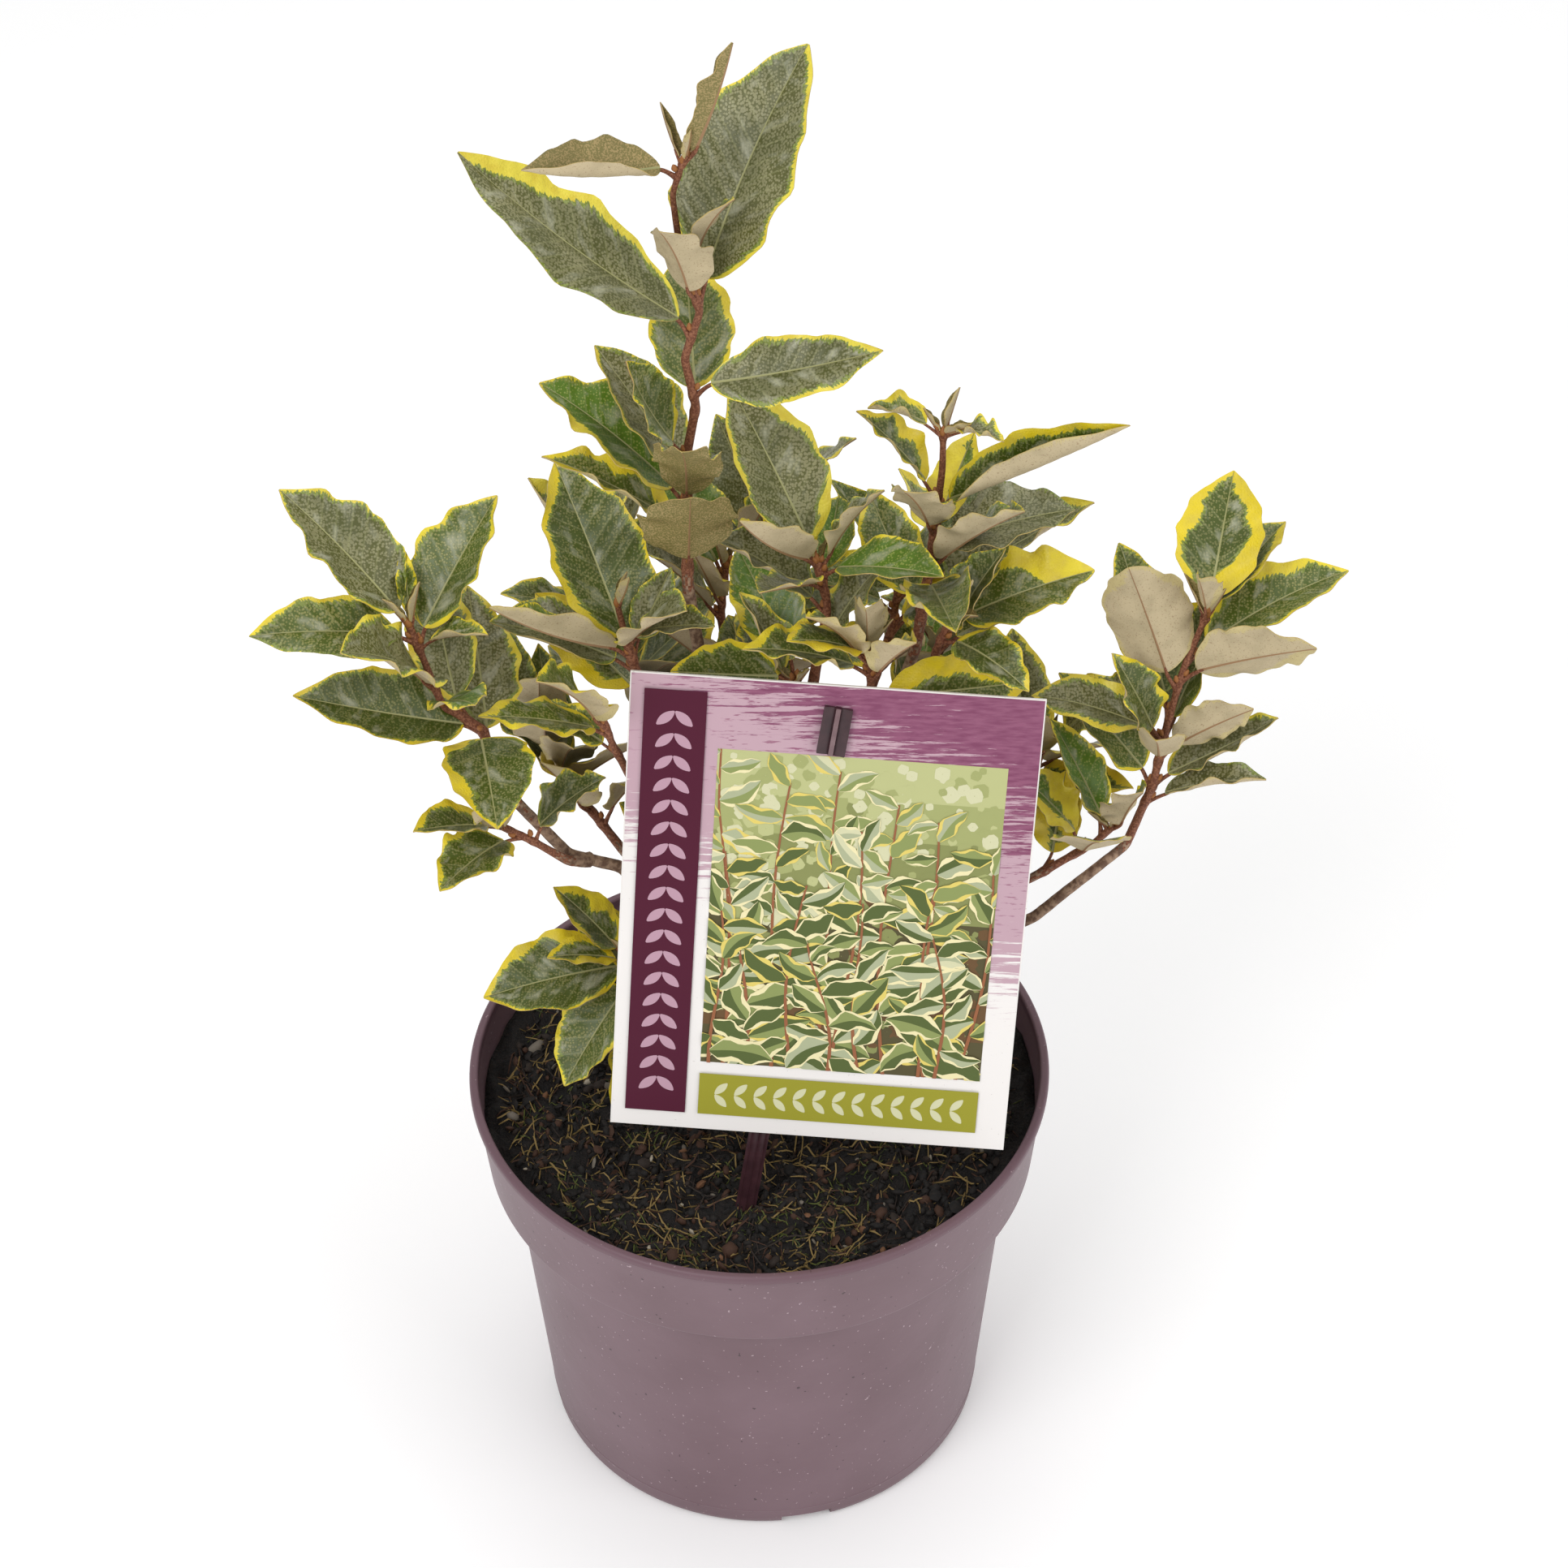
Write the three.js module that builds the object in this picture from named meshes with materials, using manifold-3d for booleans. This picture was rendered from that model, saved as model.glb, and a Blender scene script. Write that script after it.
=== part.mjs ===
// A potted ebbinges silverberry: a young evergreen shrub with yellow-edged leaves, in a plum
// nursery pot, with a plain garden label on a stake. Millimetres, +Z up. The origin is the middle
// of the pot's underside, and the label faces -Y.

import * as THREE from 'three';
import { mergeVertices } from 'three/addons/utils/BufferGeometryUtils.js';
import Module from 'manifold-3d';

const wasm = await Module();
wasm.setup();

// Room left between pieces that touch in real life.
const GAP = 0.3;

// Details finer than this, left by a join or a cut, are dropped.
const SLIVER = 0.05;

// The pot: a 19 cm thermoformed nursery pot, turned from one closed profile.
const POT_SIDES = 48;
const POT_HEIGHT = 148.5;
const RIM_RADIUS = 95;
const LIP_HEIGHT = 3.6;
const LIP_WIDTH = 3;
const WALL = 1.6;
const COLLAR_FOOT = 113.4;
const COLLAR_TOP_RADIUS = 93.6;
const COLLAR_FOOT_RADIUS = 90.5;
const BODY_TOP_RADIUS = 83.1;
const BASE_RADIUS = 73.5;
const BASE_ROUNDING = 3;
const FOOT_HEIGHT = 4.5;
const FOOT_WIDTH = 12;
const HUB_RADIUS = 18;
const FLOOR_THICKNESS = 2.5;

// Notches that let water out under the foot ring, and the drain holes in the floor.
const NOTCH_COUNT = 4;
const NOTCH_WIDTH = 17;
const NOTCH_HEIGHT = 4.2;
const NOTCH_AZIMUTH = -79;
const DRAIN_COUNT = 6;
const DRAIN_RADIUS = 5;
const DRAIN_CIRCLE = 40;

// The peat, which stands a little below the rim.
const SOIL_TOP = 135;
const SOIL_RINGS = 7;
const SOIL_LUMP = 1.6;

// The label: a card that hangs on the head of a ribbed stake pushed into the peat.
const CARD_WIDTH = 125;
const CARD_HEIGHT = 160;
const CARD_THICKNESS = 0.8;
const CARD_CENTRE = [20.5, -28, 240];
const CARD_LEAN = 13.9;
const CARD_TURN = -2.8;
const CARD_TILT = -3.2;
const STAKE_WIDTH = 6.5;
const STAKE_THICKNESS = 2.4;
const STAKE_HEAD = 74;
const STAKE_STEP = 13;
const STAKE_ACROSS = 0.6;
const STAKE_TILT = -5.8;
const STAKE_LENGTH = 200;
const STAKE_POINT = 14;

// The stem at the plant's foot.
const TRUNK_FOOT = [0, 12];
const TRUNK_TOP = [-2, 12, 172];
const TRUNK_RADIUS = 4.4;
const TRUNK_FLARE = 7.5;
const TRUNK_FLARE_HEIGHT = 9;
const TRUNK_SIDES = 10;
const BOUGH_SIDES = 6;
const SHOOT_SIDES = 5;

// Leaves: the blade is LEAF_THICKNESS thick along its rib and runs out to its edges.
const LEAF_THICKNESS = 1;
const PETIOLE_RADIUS = 0.7;
const PETIOLE_LENGTH = [6, 8];
const PETIOLE_RISE = 40;
const ROOT_DEPTH = 1.5;
const BLADE_STATIONS = [0.13, 0.33, 0.58, 0.82];
const WAVE_HEIGHT = [0.5, 1.6];
const WAVE_COUNT = [2, 3.5];

// The rule for the leaves that fill a shoot: they climb it by the golden angle.
const GOLDEN_ANGLE = 137.5;
const FILL_RISE = [16, 56];
const FILL_LENGTH = [40, 60];
const FILL_PLUMPNESS = [0.48, 0.62];
const FILL_ROLL = [-28, 28];
const FILL_BEND = [4, 34];
const FILL_FOLD = [10, 22];
const FILL_TRIES = 9;
const TRY_TURN = 47;
const TRY_SHRINK = 0.95;

// How clear a blade keeps: of another mass's blades, of its own mass's, of limbs and of the card.
const KEEP_OTHER = 3.8;
const KEEP_OWN = 2.2;
const KEEP_LIMB = 2.4;
const KEEP_CARD = 3.5;
const KEEP_SOIL = 2;
const KEEP_POT = 6;
const SAMPLES_LONG = 13;
const SAMPLES_WIDE = 7;

// Each shoot is one mass of foliage. bough: the limb that carries it, from its foot on the trunk
// or on another bough to the mass. stem: the shoot inside the mass, which goes on from there.
// leaves: the shoot's own leaves, each [share of the stem, azimuth, rise, length, width, roll,
// bend, fold], in millimetres and degrees. fill: how many more the rule adds, up to the share top.
const SHOOTS = [
  {
    name: 'leader', seed: 11, fill: 1, top: 0.2, radius: [1.7, 0.8], boughRadius: [2.8, 1.8],
    bough: [[-2, 12, 172.3], [-10, 14, 250], [-19, 15, 338]],
    stem: [
      [-19, 15, 338], [-18, 15, 387], [-15, 15, 404], [-18, 15, 421], [-13, 14, 438],
      [-18, 15, 455], [-20, 15, 477], [-17, 14, 488],
    ],
    leaves: [
      [1.0, -25, 72, 40, 10, 0, -10, 62], [0.68, 46, 53, 72, 40, 0, 22, 10],
      [0.97, -157, 14, 42, 20, -25, -25, 20], [0.69, -115, 62, 34, 20, 0, 20, 14],
      [0.75, -30, 62, 28, 17, 0, 35, 16], [0.6, 172, 40, 80, 34, 0, -14, 14],
      [0.42, 95, 42, 40, 27, 0, 15, 18], [0.46, -12, 20, 54, 21, 30, -15, 14],
      [0.24, 139, 42, 42, 25, 0, 10, 15], [0.31, -165, 68, 34, 22, -20, -20, 22],
      [0.19, 158, 33, 50, 30, 0, 20, 14], [0.12, 172, 28, 44, 20, 0, 20, 20],
      [0.04, -84, 68, 36, 30, 0, 10, 10],
    ],
  },
  {
    name: 'left', seed: 21, fill: 3, top: 0.7, radius: [1.6, 0.9], boughRadius: [2.4, 1.7],
    bough: [[-4, 11, 158], [-42, -2, 238], [-58, -5, 246], [-73, -8, 271]],
    stem: [[-73, -8, 271], [-82, -10, 303], [-93, -11, 313], [-101, -8, 341]],
    leaves: [
      [1.0, 150, 38, 50, 30, 0, 15, 14], [0.9, 48, 42, 45, 28, 0, 10, 14],
      [0.93, -160, 16, 46, 22, -15, 20, 20], [0.95, 98, 50, 20, 9, 0, 0, 50],
      [0.9, -20, 20, 20, 12, 0, 20, 20], [0.4, -166, 24, 55, 28, -25, -10, 20],
      [0.42, -80, -8, 36, 30, 0, 20, 14], [0.6, -60, 35, 26, 18, 0, 20, 20],
    ],
  },
  {
    name: 'left_low', seed: 31, fill: 2, top: 0.9, radius: [1.3, 0.9], boughRadius: [1.7, 1.4],
    bough: [[-52, -4, 243], [-58, -10, 248]],
    stem: [[-58, -10, 248], [-68, -14, 260], [-77, -15, 267]],
    leaves: [
      [1.0, -150, 20, 26, 18, 0, 15, 18], [0.75, -125, 6, 32, 22, 0, 25, 14],
      [0.6, 14, 35, 26, 18, 0, 25, 20],
    ],
  },
  {
    name: 'left_mid', seed: 43, fill: 5, top: 0.7, radius: [1.6, 0.9], boughRadius: [2.1, 1.7],
    bough: [[-9, 13, 225], [-30, 8, 285]],
    stem: [[-30, 8, 285], [-38, 8, 322], [-40, 9, 334]],
    leaves: [
      [0.62, 118, 40, 58, 33, 0, 12, 12], [0.6, -158, 36, 48, 20, 35, -20, 30],
      [0.75, -20, 20, 26, 15, 0, 20, 15], [0.5, 168, 12, 40, 24, -20, 35, 25],
    ],
  },
  {
    name: 'left_front', seed: 51, fill: 4, top: 0.9, radius: [1.4, 0.9], boughRadius: [2, 1.5],
    bough: [[-4, 10, 166], [-24, 0, 230], [-36, -4, 272]],
    stem: [[-36, -4, 272], [-43, -8, 295], [-45, -9, 305]],
    leaves: [[0.8, -158, 25, 40, 20, 0, 15, 16], [1.0, 84, 34, 34, 19, 0, 25, 16]],
  },
  {
    name: 'front', seed: 221, fill: 5, top: 0.9, radius: [1.5, 0.9], boughRadius: [2, 1.6],
    bough: [[-1, 10, 160], [-1, 3, 236], [2, 3, 276]],
    stem: [[2, 3, 276], [8, 4, 296], [13, 5, 306]],
    leaves: [
      [1.0, 180, 4, 33, 24, -60, 12, 12], [1.0, 118, 30, 40, 23, -10, 20, 16],
      [0.7, 110, 10, 34, 18, 0, 20, 16],
    ],
  },
  {
    name: 'centre', seed: 61, fill: 5, top: 0.95, radius: [1.7, 0.9], boughRadius: [2.2, 1.8],
    bough: [[0, 12, 170], [12, 10, 250], [18, 10, 300]],
    stem: [[18, 10, 300], [23, 11, 332], [20, 12, 348]],
    leaves: [
      [1.0, 127, 43, 54, 31, 0, 10, 12], [0.9, 123, 22, 30, 16, 0, 10, 15],
      [0.95, -137, 47, 40, 22, 20, -25, 40], [0.9, -27, 14, 36, 22, 0, 20, 14],
      [0.75, 80, 20, 26, 18, 0, 15, 25], [0.6, 160, 25, 36, 22, 0, 25, 18],
    ],
  },
  {
    name: 'centre_front', seed: 71, fill: 5, top: 0.9, radius: [1.6, 0.9], boughRadius: [2.1, 1.7],
    bough: [[2, 10, 168], [20, 0, 235], [28, -4, 283]],
    stem: [[28, -4, 283], [36, -2, 312], [35, -2, 324]],
    leaves: [
      [0.7, 150, 22, 25, 17, -25, 10, 10], [0.5, 6, 2, 44, 24, 62, 8, 5],
      [0.95, -150, 30, 28, 18, 0, 25, 20], [0.95, -95, 68, 26, 17, 0, 35, 45],
      [1.0, -60, 50, 26, 16, 0, 35, 45], [0.8, -168, 20, 36, 21, 0, 25, 16],
    ],
  },
  {
    name: 'upper_right', seed: 81, fill: 4, top: 0.38, radius: [1.7, 0.9], boughRadius: [2.2, 1.8],
    bough: [[2, 13, 170], [36, 16, 262], [50, 17, 310]],
    stem: [[50, 17, 310], [54, 17, 345], [57, 18, 378], [57, 18, 390]],
    leaves: [
      [1.0, 165, 8, 18, 12, 0, 40, 20], [1.0, -35, 10, 16, 10, 0, 40, 20],
      [0.66, -18, 36, 66, 24, 40, -10, 40], [0.45, 8, 12, 39, 29, 0, 20, 10],
      [0.5, 63, 35, 30, 15, 0, 10, 20], [0.7, 161, 44, 30, 16, 0, 20, 25],
      [0.55, -120, 56, 28, 20, 0, 20, 16], [0.38, 50, 56, 27, 15, -20, 8, 20],
    ],
  },
  {
    name: 'right_mid', seed: 91, fill: 5, top: 0.9, radius: [1.5, 0.9], boughRadius: [2.1, 1.7],
    bough: [[4, 12, 166], [38, 8, 240], [52, 9, 296]],
    stem: [[52, 9, 296], [56, 9, 316], [60, 10, 327]],
    leaves: [
      [0.9, 10, 16, 42, 28, 15, 20, 12], [1.0, 150, 40, 26, 17, -20, 20, 20],
      [0.6, 24, 8, 32, 18, 0, 20, 16], [1.0, 62, 30, 32, 20, 0, 20, 16],
      [0.75, -46, -4, 30, 18, 10, 40, 16],
    ],
  },
  {
    name: 'right', seed: 101, fill: 2, top: 0.5, radius: [1.4, 0.9], boughRadius: [2.3, 1.5],
    bough: [[5, 12, 158], [45, 5, 184], [88, 0, 212], [116, 0, 243]],
    stem: [[116, 0, 243], [123, -2, 270], [126, -2, 294], [130, 0, 314], [136, 3, 332]],
    leaves: [
      [1.0, 76, 30, 42, 28, 0, 10, 14], [0.83, 25, 13, 50, 26, 0, 25, 14],
      [0.75, -25, 30, 42, 27, -75, 10, 14], [0.72, -165, 72, 46, 30, 75, 15, 10],
      [0.5, -158, 66, 38, 17, -60, 10, 16], [1.0, 50, 14, 36, 20, -10, 10, 18],
      [1.0, -110, 60, 24, 13, 0, 10, 40], [0.3, 13, 24, 38, 20, 0, -10, 20],
      [0.22, -8, 16, 32, 15, 0, 20, 20], [0.5, 172, 14, 36, 20, 0, 25, 20],
      [0.42, -15, 40, 30, 18, -70, 10, 16], [0.6, 118, 52, 48, 25, 0, 12, 14],
      [0.4, -100, 50, 30, 18, 0, 15, 16],
    ],
  },
  {
    name: 'right_low', seed: 111, fill: 2, top: 0.5, radius: [1.3, 0.9], boughRadius: [1.9, 1.4],
    bough: [[4, 10, 162], [46, -2, 204], [88, -4, 234]],
    stem: [[88, -4, 234], [105, -6, 249], [110, -6, 255]],
    leaves: [
      [1.0, -60, 64, 24, 18, 0, 20, 25], [0.9, 130, 45, 34, 18, 0, 15, 20],
      [0.6, 150, 35, 28, 18, 0, 20, 14], [0.1, 75, 50, 26, 17, 0, 20, 14],
    ],
  },
  {
    name: 'low_left', seed: 121, fill: 2, top: 0.4, radius: [1.4, 0.9], boughRadius: [1.9, 1.5],
    bough: [[-4, 11, 150], [-26, 0, 180]],
    stem: [[-26, 0, 180], [-36, -4, 192], [-40, -6, 200]],
    leaves: [
      [0.9, -166, -4, 44, 30, -18, 20, 12], [0.7, -138, -44, 38, 26, 0, 15, 12],
      [1.0, -160, 20, 24, 14, 0, 25, 20], [1.0, 150, 35, 28, 19, 0, 20, 16],
      [0.1, -125, -50, 40, 17, 0, 10, 20],
    ],
  },
  {
    name: 'back_left', seed: 131, fill: 12, top: 1, radius: [1.6, 0.9], boughRadius: [2.2, 1.7],
    bough: [[-3, 15, 162], [-30, 50, 228]],
    stem: [[-30, 50, 228], [-46, 76, 265], [-52, 86, 285]],
    leaves: [],
  },
  {
    name: 'back_centre', seed: 141, fill: 12, top: 1, radius: [1.6, 0.9], boughRadius: [2.2, 1.7],
    bough: [[0, 16, 168], [4, 56, 240]],
    stem: [[4, 56, 240], [8, 84, 275], [6, 92, 296]],
    leaves: [],
  },
  {
    name: 'back_right', seed: 151, fill: 12, top: 1, radius: [1.6, 0.9], boughRadius: [2.2, 1.7],
    bough: [[4, 15, 162], [42, 52, 228]],
    stem: [[42, 52, 228], [60, 76, 262], [68, 84, 282]],
    leaves: [],
  },
  {
    name: 'side_left', seed: 181, fill: 9, top: 1, radius: [1.5, 0.9], boughRadius: [2, 1.6],
    bough: [[-4, 13, 160], [-42, 30, 214]],
    stem: [[-42, 30, 214], [-62, 40, 240], [-70, 44, 256]],
    leaves: [],
  },
  {
    name: 'side_right', seed: 191, fill: 9, top: 1, radius: [1.5, 0.9], boughRadius: [2, 1.6],
    bough: [[5, 13, 160], [62, 32, 206]],
    stem: [[62, 32, 206], [84, 40, 230], [94, 44, 246]],
    leaves: [],
  },
  {
    name: 'upper_back', seed: 201, fill: 10, top: 1, radius: [1.6, 0.9], boughRadius: [2.1, 1.7],
    bough: [[-4, 17, 196], [-6, 40, 262]],
    stem: [[-6, 40, 262], [-10, 50, 296], [-8, 52, 314]],
    leaves: [],
  },
  {
    name: 'upper_back_right', seed: 211, fill: 10, top: 1, radius: [1.6, 0.9], boughRadius: [2.1, 1.7],
    bough: [[12, 18, 200], [34, 44, 258]],
    stem: [[34, 44, 258], [44, 54, 288], [46, 56, 306]],
    leaves: [],
  },
  {
    name: 'low_back', seed: 171, fill: 8, top: 1, radius: [1.4, 0.9], boughRadius: [1.9, 1.5],
    bough: [[-1, 16, 148], [-8, 40, 176]],
    stem: [[-8, 40, 176], [-14, 58, 196], [-16, 64, 208]],
    leaves: [],
  },
  {
    name: 'low_front', seed: 161, fill: 6, top: 1, radius: [1.4, 0.9], boughRadius: [1.9, 1.5],
    bough: [[2, 8, 150], [12, -6, 184]],
    stem: [[12, -6, 184], [24, -14, 206], [29, -16, 222]],
    leaves: [[0.5, 10, -58, 54, 18, 0, 10, 14]],
  },
];

const RADIANS = Math.PI / 180;

const MATERIALS = {
  pot: new THREE.MeshStandardMaterial({ color: '#7c646c', roughness: 0.5, metalness: 0 }),
  soil: new THREE.MeshStandardMaterial({ color: '#2a201a', roughness: 1, metalness: 0 }),
  card: new THREE.MeshStandardMaterial({ color: '#d9c6d2', roughness: 0.55, metalness: 0 }),
  stake: new THREE.MeshStandardMaterial({ color: '#3a2028', roughness: 0.4, metalness: 0 }),
  bark: new THREE.MeshStandardMaterial({ color: '#7a4a34', roughness: 0.85, metalness: 0 }),
  leaf: new THREE.MeshStandardMaterial({ color: '#6f7f52', roughness: 0.6, metalness: 0 }),
};

const potted = new THREE.Group();

/** Adds one named piece to the plant. */
function addPiece(name, geometry, material, parent = potted) {
  const mesh = new THREE.Mesh(geometry, MATERIALS[material]);
  mesh.name = name;
  parent.add(mesh);
  return mesh;
}

/** Turns a closed geometry into a solid that can be joined and cut. */
function toSolid(geometry) {
  const plain = geometry.clone();
  plain.deleteAttribute('normal');
  plain.deleteAttribute('uv');
  const merged = mergeVertices(plain, 1e-4);
  return new wasm.Manifold(new wasm.Mesh({
    numProp: 3,
    vertProperties: new Float32Array(merged.attributes.position.array),
    triVerts: new Uint32Array(merged.index.array),
  }));
}

/** A solid where the ends of every edge shorter than SLIVER are made one. */
function withoutShortEdges(solid) {
  const { vertProperties: places, triVerts: corners } = solid.getMesh();
  const point = (i) => new THREE.Vector3().fromArray(places, i * 3);
  const twin = Array.from({ length: places.length / 3 }, (_, i) => i);
  const first = (i) => (twin[i] === i ? i : first(twin[i]));
  for (let i = 0; i < corners.length; i += 1) {
    const a = first(corners[i]);
    const b = first(corners[i % 3 === 2 ? i - 2 : i + 1]);
    if (point(a).distanceTo(point(b)) < SLIVER) twin[b] = a;
  }
  const faces = new Map();
  for (let i = 0; i < corners.length; i += 3) {
    const face = [first(corners[i]), first(corners[i + 1]), first(corners[i + 2])];
    const key = [...face].sort().join();
    if (new Set(face).size === 3 && !faces.delete(key)) faces.set(key, face);
  }
  return new wasm.Manifold(new wasm.Mesh({
    numProp: 3,
    vertProperties: places,
    triVerts: new Uint32Array([...faces.values()].flat()),
  }));
}

/** Turns a solid back into a geometry, without the slivers that joins and cuts leave. */
function toGeometry(solid) {
  const plain = withoutShortEdges(solid.asOriginal().simplify(SLIVER));
  const mesh = plain.asOriginal().simplify(SLIVER).getMesh();
  const geometry = new THREE.BufferGeometry();
  geometry.setAttribute('position', new THREE.BufferAttribute(mesh.vertProperties, 3));
  geometry.setIndex(new THREE.BufferAttribute(mesh.triVerts, 1));
  geometry.computeVertexNormals();
  return geometry;
}

/** Turns a profile of [radius, height] points into a body about the Z axis. */
function turned(profile) {
  const points = profile.map(([radius, height]) => new THREE.Vector2(radius, height));
  return new THREE.LatheGeometry(points, POT_SIDES).rotateX(Math.PI / 2);
}

/** The pot's wall radius, on its outside, at a height on the tapered body. */
function bodyRadius(height) {
  const share = (height - BASE_ROUNDING) / (COLLAR_FOOT - BASE_ROUNDING);
  return BASE_RADIUS + (BODY_TOP_RADIUS - BASE_RADIUS) * share;
}

/** The inside of the pot from just under the lip down to the floor, moved inwards by a margin. */
function innerWall(top, margin) {
  const inset = WALL + margin;
  const shoulder = COLLAR_FOOT + WALL;
  const floor = FOOT_HEIGHT + FLOOR_THICKNESS + margin;
  const rise = (top - COLLAR_FOOT) / (POT_HEIGHT - LIP_HEIGHT - COLLAR_FOOT);
  const topRadius = COLLAR_FOOT_RADIUS + (COLLAR_TOP_RADIUS - COLLAR_FOOT_RADIUS) * rise;
  return [
    [topRadius - inset, top],
    [COLLAR_FOOT_RADIUS - inset, shoulder + 1.5],
    [COLLAR_FOOT_RADIUS - inset - 1, shoulder + 0.6],
    [BODY_TOP_RADIUS - inset + 0.6, shoulder - 1.2],
    [bodyRadius(shoulder - 4) - inset, shoulder - 4],
    [bodyRadius(floor) - inset, floor],
  ];
}

/** The pot, with its collar and lip, and under it the foot ring, notches and drain holes. */
function makePot() {
  const footInside = BASE_RADIUS - FOOT_WIDTH;
  const floor = FOOT_HEIGHT + FLOOR_THICKNESS;
  const lipFoot = POT_HEIGHT - LIP_HEIGHT;
  const profile = [
    [0, 0],
    [HUB_RADIUS, 0],
    [HUB_RADIUS + 1.5, FOOT_HEIGHT],
    [footInside - 1.5, FOOT_HEIGHT],
    [footInside, 0],
    [BASE_RADIUS - BASE_ROUNDING, 0],
    [BASE_RADIUS - BASE_ROUNDING * 0.3, BASE_ROUNDING * 0.3],
    [BASE_RADIUS, BASE_ROUNDING],
    [bodyRadius(COLLAR_FOOT - 3), COLLAR_FOOT - 3],
    [BODY_TOP_RADIUS + 0.8, COLLAR_FOOT - 1],
    [COLLAR_FOOT_RADIUS - 0.8, COLLAR_FOOT + 0.7],
    [COLLAR_FOOT_RADIUS, COLLAR_FOOT + 1.8],
    [COLLAR_TOP_RADIUS, lipFoot],
    [RIM_RADIUS, lipFoot + 0.6],
    [RIM_RADIUS, POT_HEIGHT - 0.9],
    [RIM_RADIUS - 0.7, POT_HEIGHT],
    [RIM_RADIUS - LIP_WIDTH + 0.5, POT_HEIGHT],
    [RIM_RADIUS - LIP_WIDTH, POT_HEIGHT - 0.7],
    ...innerWall(lipFoot, 0),
    [0, floor],
  ];
  let pot = toSolid(turned(profile));
  for (let i = 0; i < NOTCH_COUNT; i += 1) {
    const notch = new THREE.BoxGeometry(FOOT_WIDTH + 8, NOTCH_WIDTH, NOTCH_HEIGHT * 2);
    notch.translate(BASE_RADIUS - FOOT_WIDTH / 2, 0, 0);
    notch.rotateZ((NOTCH_AZIMUTH + (360 / NOTCH_COUNT) * i) * RADIANS);
    pot = pot.subtract(toSolid(notch));
  }
  for (let i = 0; i < DRAIN_COUNT; i += 1) {
    const drain = new THREE.CylinderGeometry(DRAIN_RADIUS, DRAIN_RADIUS, floor * 3, 8);
    drain.rotateX(Math.PI / 2).translate(DRAIN_CIRCLE, 0, 0);
    drain.rotateZ((360 / DRAIN_COUNT) * i * RADIANS);
    pot = pot.subtract(toSolid(drain));
  }
  return toGeometry(pot);
}

/** How far the peat's surface stands above or below its level at a point. */
function soilLump(x, y) {
  const fromTrunk = Math.hypot(x - TRUNK_FOOT[0], y - TRUNK_FOOT[1]);
  const fromMiddle = Math.hypot(x, y);
  const fade = THREE.MathUtils.smoothstep(fromTrunk, TRUNK_FLARE + 3, TRUNK_FLARE + 18);
  const edge = 1 - THREE.MathUtils.smoothstep(fromMiddle, 74, 88);
  const waves = Math.sin(x * 0.13 + 1) * Math.cos(y * 0.11) + 0.5 * Math.sin(x * 0.29 - y * 0.23);
  return SOIL_LUMP * (waves - 0.4) * fade * edge;
}

/** The peat that fills the pot, with a slot where the label's stake goes in. */
function makeSoil(stake) {
  const side = innerWall(SOIL_TOP, GAP);
  const rim = side[0][0];
  const profile = [[0, side[side.length - 1][1]], ...side.reverse()];
  for (let ring = SOIL_RINGS - 1; ring >= 0; ring -= 1) {
    profile.push([(rim * ring) / SOIL_RINGS, SOIL_TOP]);
  }
  const body = turned(profile);
  const place = body.attributes.position;
  for (let i = 0; i < place.count; i += 1) {
    if (place.getZ(i) > SOIL_TOP - 0.01) {
      place.setZ(i, SOIL_TOP + soilLump(place.getX(i), place.getY(i)));
    }
  }
  return toGeometry(toSolid(body).subtract(toSolid(stake)));
}

/** The stake's outline in the side view: a bar behind the card whose head passes through it. */
function stakeShape(margin) {
  const back = -CARD_THICKNESS / 2 - GAP - STAKE_THICKNESS - margin;
  const front = CARD_THICKNESS / 2 + GAP + STAKE_THICKNESS * 0.7 + margin;
  const behind = -CARD_THICKNESS / 2 - GAP + margin;
  const before = CARD_THICKNESS / 2 + GAP - margin;
  const foot = STAKE_HEAD - STAKE_LENGTH - margin;
  const shape = new THREE.Shape();
  shape.moveTo(back, foot + STAKE_POINT);
  shape.lineTo((back + behind) / 2, foot);
  shape.lineTo(behind, foot + STAKE_POINT);
  shape.lineTo(behind, STAKE_HEAD - STAKE_STEP);
  shape.lineTo(before, STAKE_HEAD - STAKE_STEP);
  shape.lineTo(before, STAKE_HEAD - STAKE_STEP - 3);
  shape.lineTo(front, STAKE_HEAD - STAKE_STEP - 3);
  shape.lineTo(front, STAKE_HEAD);
  shape.lineTo(before, STAKE_HEAD);
  shape.lineTo(before, STAKE_HEAD - STAKE_STEP + 3);
  shape.lineTo(back, STAKE_HEAD - STAKE_STEP + 3);
  shape.closePath();
  return shape;
}

/** The stake in the card's own frame, where X runs across, Y up the card and Z out of it. */
function makeStake(margin) {
  const width = STAKE_WIDTH + margin * 2;
  const bar = new THREE.ExtrudeGeometry(stakeShape(margin), { depth: width, bevelEnabled: false });
  bar.translate(0, 0, -width / 2).rotateY(-Math.PI / 2);
  bar.translate(0, -STAKE_HEAD, 0).rotateZ(STAKE_TILT * RADIANS);
  return bar.translate(STAKE_ACROSS, STAKE_HEAD - CARD_THICKNESS, 0);
}

/** The card, with the slot that the stake's head goes through. */
function makeCard() {
  const card = toSolid(new THREE.BoxGeometry(CARD_WIDTH, CARD_HEIGHT, CARD_THICKNESS));
  const slot = new THREE.BoxGeometry(STAKE_WIDTH + GAP * 2, 3 + GAP * 2, STAKE_THICKNESS * 4);
  slot.translate(0, 1.5 - STAKE_STEP, 0).rotateZ(STAKE_TILT * RADIANS);
  slot.translate(STAKE_ACROSS, STAKE_HEAD - CARD_THICKNESS, 0);
  return toGeometry(card.subtract(toSolid(slot)));
}

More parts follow.
